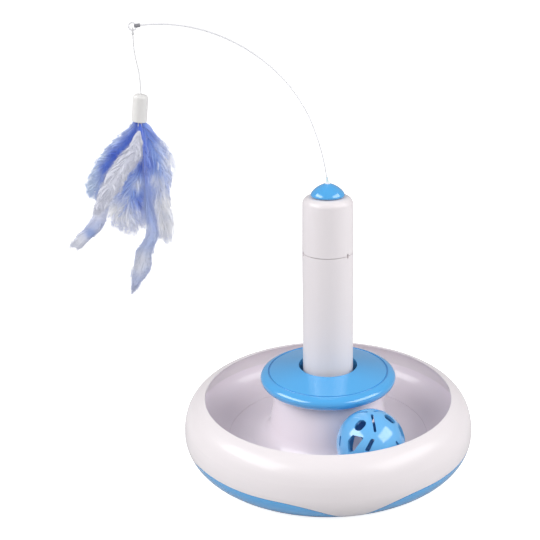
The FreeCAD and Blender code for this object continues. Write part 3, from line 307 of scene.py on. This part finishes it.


# CAD nodes keep their shape and take the finish of their slot; the ball has a paler one, and the tray a
# lighter, more violet copy of the white plastic that is painted light and shade for its channel
ownFinish = {"track_tray": "tray_white_painted_light", "ball_upper_half": "ball_blue", "ball_lower_half": "ball_blue"}
for part in frame["record"]["subparts"]:
    node = cadNodes[part["node"]]
    finish = ownFinish.get(part["node"], part["material_slot"])
    if finish in materials:              # the feathers have dyes of their own
        node.data.materials.clear()
        node.data.materials.append(materials[finish])
print("finishes put on the solids")


# feathers: a blade is the surface between a left and a right edge; s runs down it and v across it
def bladeSurface(look):
    # point(s, v) = left(s) (1 - v) + right(s) v, pushed forward by crown (1 - (2 v - 1)^2);
    # past s = 1 it goes on straight along the blade's last direction
    count, tail = look["bladeRows"], look["tailRows"]
    left = smoothPath(look["left"], count)
    right = smoothPath(look["right"], count)
    depth = smoothPath([[y] for y in look["depth"]], count)[:, 0]
    steps = np.linspace(0, 1, count)
    middle = (left + right) / 2
    onward = (middle[-1] - middle[-tail]) / (steps[-1] - steps[-tail])

    def place(s, v):
        inside = np.clip(s, 0, 1)
        beyond = np.maximum(s - 1, 0)
        x, z = (np.interp(inside, steps, left[:, i]) * (1 - v) + np.interp(inside, steps, right[:, i]) * v
                + beyond * onward[i] for i in (0, 1))
        y = np.interp(inside, steps, depth) - look["crown"] * (1 - (2 * v - 1) ** 2)
        return np.stack([x, y, z], -1)

    return place


def tipFade(look, s):
    # share of their reach to the side that strands keep near the tip: sqrt(1 - q^2), q from 0 at
    # tipStart to 1 at tipEnd
    q = np.clip((s - look["tipStart"]) / (look["tipEnd"] - look["tipStart"]), 0, 1)
    return np.sqrt(1 - q ** 2)


def innerShare(look, spread):
    # share of the lean or size that a strand has: inner for those that stay at the stem, where spread
    # is 0, and 1 for those that reach the side
    return look["inner"] + (1 - look["inner"]) * spread


def swellAt(look, s):
    # the bundle is thick in the middle of the blade and thin at its ends: sin(pi s)^0.5, where s counts
    # as thinEnd at least
    return np.sin(np.pi * np.clip(s, look["thinEnd"], 1)) ** 0.5


def strandPaths(look, place, t, s0, s1, across, lift, wave, turnRange, rng):
    # a strand leaves the stem at (s0, stem) and runs to (s1, stem + across):
    # v = stem + across (1 - (1 - t)^sideBend) and s = s0 + (s1 - s0) t^alongBend, lifted by
    # lift sin(pi t / 2) and waved by wave t sin(2 pi (turns t + phase)); the dye reads s and 2 |v - stem|
    v = look["stem"] + across[:, None] * (1 - (1 - t) ** look["sideBend"])
    s = s0[:, None] + (s1 - s0)[:, None] * t ** look["alongBend"]
    paths = place(s, v)
    paths[..., 1] -= lift[:, None] * np.sin(np.pi * t / 2)
    turns = rng.uniform(*turnRange, (len(s0), 1, 3))
    phase = rng.uniform(0, 1, (len(s0), 1, 3))
    paths += wave * t[..., None] * np.sin(2 * np.pi * (turns * t[..., None] + phase))
    return paths, s, np.abs(v - look["stem"]) * 2


def barbPaths(look, place, rng):
    # barbs leave the stem all round it, and their ends gather in locks of random length; those that leave
    # it sideways reach furthest, by spread = |cos(around)|^flatness, and their radius is
    # barbRadius (1.05 - barbTaper t)
    n, locks = look["barbs"], look["locks"]
    t = np.linspace(0, 1, look["barbPoints"])[None, :]
    s0 = np.sort(rng.uniform(look["rootStart"], look["barbEnd"], n))
    around = rng.uniform(0, 2 * np.pi, n)
    side = np.where(np.cos(around) < 0, -1.0, 1.0)
    spread = np.abs(np.cos(around)) ** look["flatness"]
    lean = look["lean"] * rng.uniform(*look["barbLean"], n)
    s1 = s0 + lean * innerShare(look, spread)
    lock = np.round(s1 * locks + look["lockShift"] * side).astype(int)
    lockLength = rng.uniform(1 - look["ragged"], 1 + look["overlong"] * look["ragged"], 4 * locks)
    lockLength = lockLength[(lock + np.where(side > 0, 2 * locks, 0)) % (4 * locks)]
    length = lockLength * rng.uniform(*look["barbLength"], n)
    s1 = s1 + look["gather"] * (lock / locks - s1)
    reach = (np.where(side < 0, look["stem"], 1 - look["stem"]) * spread * length
             * np.maximum(tipFade(look, s1), look["tipLeast"]))
    s1 = np.minimum(s1, look["reachEnd"] + look["barbUneven"] * rng.uniform(-1, 1, n))
    lift = look["thick"] * np.sin(around) * rng.uniform(*look["barbLift"], n) * swellAt(look, s0)
    paths, s, outward = strandPaths(look, place, t, s0, s1, side * reach, lift, look["wave"],
                                    look["barbTurns"], rng)
    radii = look["barbRadius"] * (1.05 - look["barbTaper"] * t) * np.ones((n, 1))
    return paths, radii, s, outward


def tuftPaths(look, place, rng):
    # flat locks of barbs that overlap like shingles and fill the blade: each runs as a barb does, and its
    # half width is tuftWidth sin(pi t^0.7)^0.6, from a narrow root over a wide middle to a pointed end
    n = look["tufts"]
    t = np.linspace(look["tuftStart"], 1, look["tuftPoints"])[None, :]
    s0 = np.sort(rng.uniform(look["rootStart"], look["tuftEnd"], n))
    side = np.where(rng.uniform(0, 1, n) < look["stem"], -1.0, 1.0)
    spread = rng.uniform(look["leastSpread"], 1, n) ** look["tuftSpread"]
    s1 = s0 + look["lean"] * rng.uniform(*look["tuftLean"], n)
    ragged = rng.uniform(1 - look["ragged"], 1, n)
    reach = (np.where(side < 0, look["stem"], 1 - look["stem"]) * look["tuftReach"] * spread * ragged
             * tipFade(look, s1))
    s1 = np.minimum(s1, look["reachEnd"] - look["tuftUneven"] * rng.uniform(0, 1, n))
    lift = look["thick"] * rng.uniform(*look["tuftLift"], n) * swellAt(look, s0)
    paths, s, outward = strandPaths(look, place, t, s0, s1, side * reach, lift, look["tuftWave"],
                                    look["tuftTurns"], rng)
    size = look["tuftWidth"] * rng.uniform(*look["tuftSize"], n) * innerShare(look, spread)
    radii = size[:, None] * np.sin(np.pi * np.minimum(t, look["tuftPoint"]) ** 0.7) ** 0.6
    return paths, radii, s, outward


def downPaths(look, barbs, rng):
    # barbules: from a random place on a random barb, along downForward tangent + random, curling down by
    # downCurl length u^2, with radius = downRadius (1.1 - 0.8 u)
    paths, _, s, outward = barbs
    n, m = look["down"], look["downPoints"]
    barb = rng.integers(0, len(paths), n)
    where = rng.uniform(look["downStart"], 1.0, n) ** look["downOut"] * (paths.shape[1] - 1.001)
    low = where.astype(int)
    part = (where - low)[:, None]
    root = paths[barb, low] * (1 - part) + paths[barb, low + 1] * part
    tangent = unit(paths[barb, low + 1] - paths[barb, low])
    away = unit(rng.normal(0, 1, (n, 3)) * np.array([1, look["downDepth"], 1]))
    direction = unit(tangent * look["downForward"] + away)
    length = look["downLength"] * rng.uniform(*look["downSize"], n)
    u = np.linspace(0, 1, m)
    curve = root[:, None] + direction[:, None] * (length[:, None] * u)[..., None]
    curve[..., 2] -= look["downCurl"] * length[:, None] * u ** 2
    radii = look["downRadius"] * (1.1 - 0.8 * u)[None, :] * np.ones((n, 1))
    out = np.clip(outward[barb, low] + look["downPaler"], 0, 1)
    return curve, radii, np.repeat(s[barb, low][:, None], m, 1), np.repeat(out[:, None], m, 1)


def coreSheet(look, place, rng):
    # thin closed lens under the barbs: round each row, q = cos(a) runs over coreWidth of the blade, and
    # front and back stand off by coreDepth sign(sin a) |sin a|^0.8. Both shrink to the ends by
    # (1 - |2 e - 1|^coreTaper)^0.5, e from 0 to 1 down the lens. Its rim is notched, it is sheared along
    # the barbs by coreShear lean |q|^1.3, and ripples sin(2 pi ripples s) grow towards the rim
    rows, columns, first, last, notches = (
        look[key] for key in ("coreRows", "coreColumns", "coreStart", "coreEnd", "coreNotches"))
    loop = 2 * np.pi * np.arange(columns) / columns
    face = np.sign(np.sin(loop)) * np.abs(np.sin(loop)) ** 0.8
    sGrid, qGrid = np.meshgrid(np.linspace(first, last, rows), np.cos(loop), indexing="ij")
    ends = np.clip((sGrid - first) / (last - first), 0, 1)
    taper = np.sqrt(1 - np.abs(2 * ends - 1) ** look["coreTaper"])
    notch = np.interp(sGrid, np.linspace(0, 1, notches), rng.uniform(-1, 1, notches))
    half = look["coreWidth"] / 2 * np.maximum(taper, look["coreNarrow"])
    half = half * (1 + look["coreNotch"] * notch)
    centre = look["stem"] + (0.5 - look["stem"]) * look["coreWidth"]
    sheared = sGrid + look["lean"] * look["coreShear"] * np.abs(qGrid) ** 1.3
    v = centre + qGrid * half
    verts = place(np.minimum(sheared, look["reachEnd"]), v)
    ripple = np.sin(sheared * look["ripples"] * 2 * np.pi + look["rippleShift"] * np.sign(qGrid))
    verts[..., 1] -= (face * look["coreDepth"] * np.maximum(taper, look["coreThin"])
                      + ripple * look["rippleDepth"] * np.abs(qGrid))
    caps = [np.arange(columns)[None, :], (rows - 1) * columns + np.arange(columns)[None, ::-1]]
    out = np.clip(np.abs(v - look["stem"]) * 2, 0, 1)
    uv = np.stack([sGrid, qGrid], -1).reshape(-1, 2)
    return (verts.reshape(-1, 3), [ringFaces(rows, columns)] + caps, sGrid.ravel(), out.ravel(),
            np.zeros(sGrid.size), uv)


def tubeSet(paths, radii, along, outward, toneSpread, rng, sides=3, flat=1.0):
    # tubes with the attributes that the dye reads; each has its own tone and its own place in the
    # streaks: u is 2 x random + along / 50, and v is the way out from the stem
    verts, quads, start, end = closedTubes(paths, radii, sides, flat)
    a = np.repeat(along.ravel(), sides)
    o = np.repeat(np.clip(outward, 0, 1).ravel(), sides)
    each = paths.shape[1] * sides
    strand = np.repeat(rng.uniform(0, 1, len(paths)), each)
    tone = np.repeat(rng.normal(0, toneSpread, len(paths)), each)
    uv = np.stack([strand * 2 + a * 0.02, o], -1)
    return verts, [quads, start, end], a, o, tone, uv


def joinSets(parts):
    # parts are (verts, face sets, along, outward, tone, uv); face rows are shifted and grouped by width
    byWidth, offset = {}, 0
    for part in parts:
        for faces in part[1]:
            byWidth.setdefault(faces.shape[1], []).append(faces + offset)
        offset += len(part[0])
    verts, along, outward, tone, uv = (
        np.concatenate([part[i] for part in parts]) for i in (0, 2, 3, 4, 5))
    return verts, [np.concatenate(f) for f in byWidth.values()], along, outward, tone, uv


def spotTone(verts, spots):
    # each dye spot is (x, z, radius, amount): tone = sum of amount exp(-distance^2 / (2 radius^2)),
    # deeper above 0 and paler below
    x, z, radius, amount = np.asarray(spots, float).T[:, None]
    near = (verts[:, :1] - x) ** 2 + (verts[:, 2:] - z) ** 2
    return (amount * np.exp(-near / (2 * radius ** 2))).sum(1)


def featherMaterial(name, look):
    material, tree, shader = newMaterial(name)
    group = addNode(tree, "ShaderNodeGroup", {
        "Root": (*dyes[look["root"]], 1), "Middle": (*dyes[look["middle"]], 1),
        "Tip": (*dyes[look["tip"]], 1), "Deep": (*dyes[look["deep"]], 1), "Edge": look["edge"],
        "Streak": look["streak"], "Root End": look["rootEnd"], "Tip Start": look["tipFrom"]},
        node_tree=featherDye)
    setInputs(tree, shader, {
        "Base Color": group.outputs["Colour"], "Normal": group.outputs["Normal"],
        "Roughness": look["rough"], "Sheen Weight": look["sheen"], "Sheen Roughness": look["sheenRough"],
        "Emission Color": group.outputs["Colour"],
        "Emission Strength": look["glow"]})       # painted light: the feathers glow in their own dye colour, in place of light that passes through the down
    return material


# what all the fluffy feathers share, and what the smooth ones change: crown, thick, waves, radii,
# downLength, tuftWidth, coreDepth and rippleDepth are in mm, the rest are counts, powers and shares of the
# blade, and a pair is the range of a random factor or of the turns of a wave
fluffyLook = dict(
    bladeRows=160, tailRows=12, stem=0.5, crown=1.5, tipStart=0.72, tipEnd=1.12, tipLeast=0.05,
    reachEnd=1.0, rootStart=0.0, lean=0.2, inner=0.35, ragged=0.26, overlong=0.4, thick=3.4, thinEnd=0.08,
    sideBend=1.7, alongBend=1.25,
    barbs=560, barbPoints=9, barbEnd=0.97, barbRadius=0.11, barbTaper=0.55, barbLean=(0.7, 1.3),
    barbLength=(0.8, 1.06), barbLift=(0.6, 1.1), barbTurns=(0.5, 1.5), barbUneven=0.05, flatness=0.5,
    locks=14, lockShift=0.35, gather=0.35, wave=0.6,
    tufts=300, tuftPoints=8, tuftStart=0.02, tuftEnd=0.9, tuftPoint=0.985, tuftWidth=1.5, tuftFlat=0.16,
    tuftSize=(0.5, 1.2), tuftLean=(0.5, 1.2), tuftLift=(-0.8, 0.8), tuftTurns=(0.3, 0.8),
    tuftUneven=0.06, leastSpread=0.05, tuftSpread=0.7, tuftReach=0.9, tuftWave=0.9, tuftTone=0.16,
    down=6900, downPoints=4, downStart=0.05, downOut=0.5, downLength=3.0, downSize=(0.5, 1.3),
    downRadius=0.055, downForward=0.9, downDepth=0.8, downCurl=0.2, downPaler=0.1, downTone=0.1,
    coreStart=0.0, coreEnd=0.8, coreRows=60, coreColumns=20, coreWidth=0.16, coreDepth=0.5, coreTaper=6.0,
    coreNarrow=0.03, coreThin=0.05, coreShear=0.6, coreNotches=40, coreNotch=0.3, ripples=14,
    rippleShift=1.7, rippleDepth=0.35,
    stemPoints=40, stemEnd=0.96, stemRadius=0.35, stemForward=0.6,
    edge=0.5, streak=0.25, rootEnd=0.4, tipFrom=0.4, deep="violet", spots=[(0, 0, 1, 0)],
    # glow is painted light: the feathers' emission of their own dye colour
    rough=0.75, sheen=0.35, sheenRough=0.4, glow=0.28)
smoothLook = dict(
    fluffyLook, crown=0.8, tipStart=1.0, reachEnd=0.99, lean=0.13, ragged=0.08, thick=0.6,
    barbs=520, barbRadius=0.1, flatness=0.25, locks=34, wave=0.12,
    tufts=60, tuftWidth=0.8, tuftReach=0.97, tuftWave=0.2, tuftTone=0.08,
    down=3600, downLength=1.3, downDepth=0.3,
    coreEnd=0.95, coreRows=140, coreColumns=40, coreWidth=0.84, coreDepth=0.3, coreTaper=14.0,
    coreNotch=0.1, ripples=30, rippleDepth=0.2)

# dyes of the feathers, linear
dyes = dict(violet=(0.055, 0.12, 0.54), deep=(0.12, 0.21, 0.60), sky=(0.28, 0.395, 0.71),
            pale=(0.48, 0.56, 0.70), bone=(0.73, 0.73, 0.75), dusk=(0.24, 0.31, 0.53),
            haze=(0.37, 0.44, 0.62), cloud=(0.57, 0.59, 0.69), fog=(0.56, 0.57, 0.62),
            silver=(0.55, 0.56, 0.63), ash=(0.47, 0.48, 0.56))

# each blade's edges as (x, z) from the cap down, and its depth y, in mm; spots as spotTone reads them
feathers = {
    "feather_blue_left": dict(
        smoothLook, slot="feather_deep_blue",
        left=[(-122.4, 237.0), (-124.6, 233.6), (-130.2, 229.3), (-136.8, 223.7), (-143.6, 217.2),
              (-148.4, 210.0), (-152.0, 202.9), (-154.6, 197.0), (-154.4, 190.6)],
        right=[(-119.0, 237.0), (-118.8, 232.4), (-123.6, 223.4), (-130.4, 215.7), (-136.2, 209.4),
               (-140.0, 204.0), (-142.8, 198.0), (-144.8, 192.8), (-147.6, 188.2)],
        depth=(-0.6, -0.9, -1.6, -2.6, -4.0, -5.0, -5.4), stem=0.72, ragged=0.3, locks=20, gather=0.5,
        down=7300, downLength=2.6, thick=1.5, flatness=0.4, coreWidth=0.6, coreEnd=0.8, wave=0.3,
        tufts=200, tuftWidth=1.1, root="violet", middle="deep", tip="pale", edge=0.8, streak=0.3,
        rootEnd=0.3, tipFrom=0.55,
        spots=[(-127.0, 224.0, 4.0, 0.4), (-134.5, 214.5, 3.6, 0.8), (-140.5, 207.0, 3.0, 0.4),
               (-143.9, 215.5, 3.0, -0.9), (-149.5, 206.0, 3.0, -0.8), (-151.5, 195.7, 4.0, -1.0),
               (-134.0, 226.0, 2.5, -0.4)]),
    "feather_white_front": dict(
        fluffyLook, slot="feather_pale",
        left=[(-118.4, 231.0), (-124.3, 222.4), (-129.1, 218.0), (-136.0, 210.9),
              (-140.9, 202.7), (-144.6, 194.5), (-147.5, 188.1), (-149.8, 182.0)],
        right=[(-117.5, 231.0), (-116.9, 222.5), (-117.6, 214.0), (-121.5, 209.7),
               (-125.6, 203.5), (-130.3, 196.2), (-135.8, 189.0), (-142.5, 180.5)],
        depth=(-2.2, -5.6, -8.6, -11.0, -12.6, -13.6), thick=1.8, locks=18, ragged=0.16, lean=0.16,
        coreWidth=0.66, downLength=2.1, crown=1.8, root="ash", middle="silver", tip="silver", edge=0.1,
        streak=0.2, rootEnd=0.5, tipFrom=0.6, deep="ash", tuftTone=0.1),
    "feather_long_left": dict(
        smoothLook, slot="feather_blue",
        left=[(-121.0, 236.0), (-128.5, 218.0), (-136.5, 202.0), (-143.4, 189.7), (-148.5, 181.6),
              (-153.0, 176.0), (-159.0, 167.0), (-166.1, 160.0), (-170.6, 153.4)],
        right=[(-119.5, 236.0), (-125.0, 217.5), (-131.5, 202.0), (-137.0, 189.7), (-140.9, 182.2),
               (-144.0, 174.0), (-147.0, 166.0), (-156.6, 157.3), (-163.6, 151.2)],
        depth=(1.2, 2.2, 3.0, 2.4, 1.0, 0.2, -0.4), stem=0.56, root="deep", middle="cloud", tip="fog",
        edge=0.3, streak=0.2, rootEnd=0.3, tipFrom=0.7, deep="dusk", ragged=0.14, tufts=140,
        downLength=1.7,
        spots=[(-155.5, 162.5, 3.0, 1.2), (-149.5, 168.5, 2.6, 0.5), (-164.2, 157.0, 4.0, -0.7),
               (-142.0, 181.7, 3.0, 0.3), (-150.7, 177.0, 3.5, -0.6)]),
    "feather_centre_fluff": dict(
        fluffyLook, slot="feather_blue",
        left=[(-120.8, 237.0), (-120.9, 220.0), (-123.4, 209.0), (-131.6, 201.0),
              (-138.6, 193.0), (-143.4, 185.4), (-145.6, 178.3), (-143.4, 169.4)],
        right=[(-116.2, 237.0), (-113.6, 220.0), (-112.4, 209.0), (-111.8, 199.8),
               (-112.5, 190.5), (-114.0, 181.1), (-116.2, 171.6), (-119.8, 162.0)],
        depth=(-0.4, -1.6, -2.8, -3.4, -3.4, -3.0, -2.6), thick=3.0, root="violet", middle="sky",
        tip="bone", edge=0.2, streak=0.3, rootEnd=0.37, tipFrom=0.6, tipStart=0.86,
        spots=[(-116.7, 208.0, 2.6, 0.9), (-120.1, 185.0, 3.6, 0.7), (-121.8, 196.5, 3.4, -0.5),
               (-131.0, 187.0, 4.0, -0.3), (-139.4, 179.6, 5.0, -0.9), (-131.0, 171.0, 5.0, -0.7)]),
    "feather_right_fluff": dict(
        fluffyLook, slot="feather_deep_blue",
        left=[(-119.2, 237.0), (-119.6, 221.7), (-119.8, 208.0), (-119.4, 194.1),
              (-118.3, 180.0), (-115.8, 169.5), (-113.0, 158.8)],
        right=[(-114.6, 237.0), (-106.0, 226.0), (-99.6, 214.4), (-98.6, 202.4),
               (-100.4, 189.4), (-99.8, 175.2), (-100.2, 158.8)],
        depth=(0.4, 1.4, 2.2, 2.6, 2.6, 2.4, 2.0), thick=3.6, barbs=600, down=7200, tipStart=0.95,
        ragged=0.34, root="deep", middle="sky", tip="bone", edge=0.6, streak=0.25, rootEnd=0.26,
        tipFrom=0.4,
        spots=[(-112.0, 225.5, 2.8, 0.35), (-115.5, 218.0, 3.0, 0.2), (-116.0, 207.8, 3.4, 1.1),
               (-116.0, 191.0, 3.0, 0.5), (-101.5, 209.4, 4.0, -0.7), (-110.3, 196.6, 5.0, -0.6),
               (-105.5, 181.6, 6.0, -0.9), (-106.5, 166.0, 7.0, -0.8), (-105.0, 221.5, 2.6, -0.3)]),
    "feather_long_right": dict(
        smoothLook, slot="feather_blue",
        left=[(-117.6, 235.0), (-116.6, 214.0), (-116.4, 202.0), (-117.6, 185.0), (-117.6, 169.0),
              (-120.2, 159.5), (-126.0, 153.3), (-128.0, 142.2), (-129.3, 133.4), (-129.2, 125.5)],
        right=[(-117.2, 235.0), (-115.8, 214.0), (-115.2, 202.0), (-112.4, 185.0), (-109.4, 169.9),
               (-109.7, 162.5), (-113.0, 153.0), (-115.0, 141.2), (-120.8, 133.6), (-128.4, 125.3)],
        depth=(-2.2, -5.4, -7.4, -9.0, -10.2, -10.2, -9.4, -8.4, -7.6), stem=0.55, ragged=0.34, locks=26,
        gather=0.5, coreStart=0.34, tufts=200, down=7000, downLength=2.4, flatness=0.35, wave=0.2,
        root="violet", middle="haze", tip="fog", edge=0.35, streak=0.2, rootEnd=0.5, tipFrom=0.62,
        deep="dusk",
        spots=[(-116.6, 191.0, 5.0, 0.5), (-116.8, 180.0, 4.0, 0.35), (-127.5, 129.0, 4.5, 0.4),
               (-121.0, 148.0, 5.0, -0.8), (-118.0, 168.0, 4.0, -0.4), (-125.5, 142.0, 3.0, -0.5)]),
    "feather_back_fluff": dict(
        fluffyLook, slot="feather_pale",
        left=[(-120.0, 236.0), (-124.6, 221.0), (-129.6, 208.0), (-132.2, 194.0),
              (-132.6, 180.0), (-130.0, 165.0)],
        right=[(-117.0, 236.0), (-112.6, 221.0), (-110.4, 208.0), (-111.0, 194.0),
               (-112.4, 180.0), (-117.6, 165.0)],
        depth=(2.2, 7.0, 11.5, 13.6, 14.0, 13.2), crown=-2.0, root="deep", middle="pale", tip="bone",
        edge=0.5, streak=0.3, rootEnd=0.3, tipFrom=0.5),
}


def makeFeather(name, look, seed):
    rng = np.random.default_rng(seed)
    place = bladeSurface(look)
    core = coreSheet(look, place, rng)
    tufts = tuftPaths(look, place, rng)
    barbs = barbPaths(look, place, rng)
    down = downPaths(look, barbs, rng)
    # the stem runs down the blade at v = stem, a little in front, and its radius is
    # stemRadius (1.05 - 0.9 s)
    stemS = np.linspace(0, look["stemEnd"], look["stemPoints"])[None, :]
    stemPath = place(stemS, np.full_like(stemS, look["stem"]))
    stemPath[..., 1] -= look["coreDepth"] * look["stemForward"]
    stem = (stemPath, look["stemRadius"] * (1.05 - 0.9 * stemS), stemS, np.zeros_like(stemS))
    parts = [core,
             tubeSet(*tufts, look["tuftTone"], rng, sides=4, flat=look["tuftFlat"]),
             tubeSet(*barbs, look["downTone"], rng),
             tubeSet(*down, look["downTone"], rng),
             tubeSet(*stem, 0.0, rng, sides=6)]
    verts, faces, along, outward, tone, uv = joinSets(parts)
    tone = tone + spotTone(verts, look["spots"])
    mesh = meshFromArrays(name, verts, faces, uv, {"along": along, "outward": outward, "tone": tone})
    material = featherMaterial(name, look)
    addPiece(name.replace("feather_", "plume_"), mesh, "lure", material, [name])
    return len(mesh.polygons)


firstSeed = 11           # each feather has the next seed, and another first one ruffles them anew
for seed, (name, look) in enumerate(feathers.items(), firstSeed):
    print(name, "faces", makeFeather(name, look, seed))
print("feathers made")


# the limp string from the knot under the wire's eye down into the feather cap, on the solid's own route;
# length is in metres and the other measures are in mm
def makeString():
    look = dict(radius=0.35, length=0.038, start=(-119.053, 0.0, 289.423), eyeLow=292.223,
                drops=[(-0.06, -7.4), (0.24, -14.9), (1.74, -22.2), (2.64, -29.4), (2.5, -40.6)],
                roundness=4, steps=16)
    x, y, z = look["start"]
    route = [(x, y, z)] + [(x + dx, y, look["eyeLow"] + dz) for dx, dz in look["drops"]]
    curve = bpy.data.curves.new("lureThread", "CURVE")
    curve.dimensions = "3D"
    curve.bevel_depth = look["radius"] * mm
    curve.bevel_resolution = look["roundness"]
    curve.use_fill_caps = True
    spline = curve.splines.new("NURBS")
    spline.points.add(len(route) - 1)
    spline.points.foreach_set("co", (np.array([(*p, 1000.0) for p in route]) * mm).ravel())   # weight 1
    spline.order_u = 3
    spline.use_endpoint_u = True
    spline.resolution_u = look["steps"]
    thread = bpy.data.objects.new("lureThread", curve)
    scene.collection.objects.link(thread)
    curve.materials.append(materials["string_white"])
    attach(thread, "lure")
    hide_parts("lure_string")


makeString()
print("string made")


# camera at the photograph's viewing point, found from the rings of the bowl and the post, in mm, degrees
# and pixels; rowShift is a share of the frame
def buildCamera():
    view = dict(back=600.0, height=349.1, downTilt=19.5, roll=-0.12, focalPixels=956.5, middlePixel=327.8,
                rowShift=-0.00056, framePixels=540.0, sensor=36.0)
    data = bpy.data.cameras.new("photoCamera")
    data.sensor_width = view["sensor"]
    data.lens = view["focalPixels"] / view["framePixels"] * data.sensor_width
    data.shift_x = 0.5 - view["middlePixel"] / view["framePixels"]
    data.shift_y = view["rowShift"]
    camera = bpy.data.objects.new("photoCamera", data)
    camera.location = (0, -view["back"] * mm, view["height"] * mm)
    down = Matrix.Rotation(math.radians(90 - view["downTilt"]), 3, "X")
    camera.rotation_euler = (down @ Matrix.Rotation(math.radians(view["roll"]), 3, "Z")).to_euler()
    scene.collection.objects.link(camera)
    scene.camera = camera


# pale floor and soft studio light, in metres and watts; the camera sees floor and sky brighter than the
# light that they give
def buildFloor():
    look = dict(half=6.0, colour=(0.6, 0.6, 0.6), rough=0.9, glow=0.9)
    half = look["half"]
    mesh = bpy.data.meshes.new("floor")
    mesh.from_pydata([(-half, -half, 0), (half, -half, 0), (half, half, 0), (-half, half, 0)], [],
                     [(0, 1, 2, 3)])
    floor = bpy.data.objects.new("floor", mesh)
    scene.collection.objects.link(floor)
    material, tree, shader = newMaterial("paleFloor")
    seen = addNode(tree, "ShaderNodeLightPath").outputs["Is Camera Ray"]
    setInputs(tree, shader, {"Base Color": (*look["colour"], 1), "Roughness": look["rough"],
                             "Emission Color": (1, 1, 1, 1),
                             "Emission Strength": mathNode(tree, "MULTIPLY", seen, look["glow"])})
    mesh.materials.append(material)


def buildSky():
    look = dict(colour=(0.97, 0.96, 1.0), strength=0.365, seenStrength=1.1)
    world = bpy.data.worlds.new("studio")
    scene.world = world
    world.use_nodes = True
    tree = world.node_tree
    seen = addNode(tree, "ShaderNodeLightPath").outputs["Is Camera Ray"]
    behind = mathNode(tree, "MULTIPLY", seen, look["seenStrength"])    # white behind the toy
    strength = mathNode(tree, "MAXIMUM", behind, look["strength"])
    setInputs(tree, tree.nodes["Background"], {"Color": (*look["colour"], 1), "Strength": strength})


def buildLamps():
    # the softboxes make the highlights of the photograph; the fills are seen in no reflection
    studio = dict(aim=(0, 0, 0.06), boxSize=(1.1, 0.6), fillSize=(0.8, 0.8),
                  lamps=[("softbox", (-0.88, -0.35, 0.8), 9.0), ("softbox", (0.88, -0.35, 0.8), 7.0),
                         ("sideFill", (-1.3, 0, 0.6), 2.3), ("sideFill", (1.3, 0, 0.6), 4.6),
                         ("frontFill", (0, -1, 1.1), 1.8), ("backFill", (0, 1.2, 0.5), 1.5)])
    for name, place, power in studio["lamps"]:
        isBox = name == "softbox"
        data = bpy.data.lights.new(name, "AREA")
        data.shape = "RECTANGLE"
        data.size, data.size_y = studio["boxSize"] if isBox else studio["fillSize"]
        data.energy = power
        lamp = bpy.data.objects.new(name, data)
        lamp.visible_glossy = isBox
        lamp.location = place
        lamp.rotation_euler = (Vector(studio["aim"]) - Vector(place)).to_track_quat("-Z", "Y").to_euler()
        scene.collection.objects.link(lamp)


scene.view_settings.view_transform = "Standard"   # plain colours, as a product photograph has
buildCamera()
buildFloor()
buildSky()
buildLamps()
print("camera, floor, sky and lamps ready")
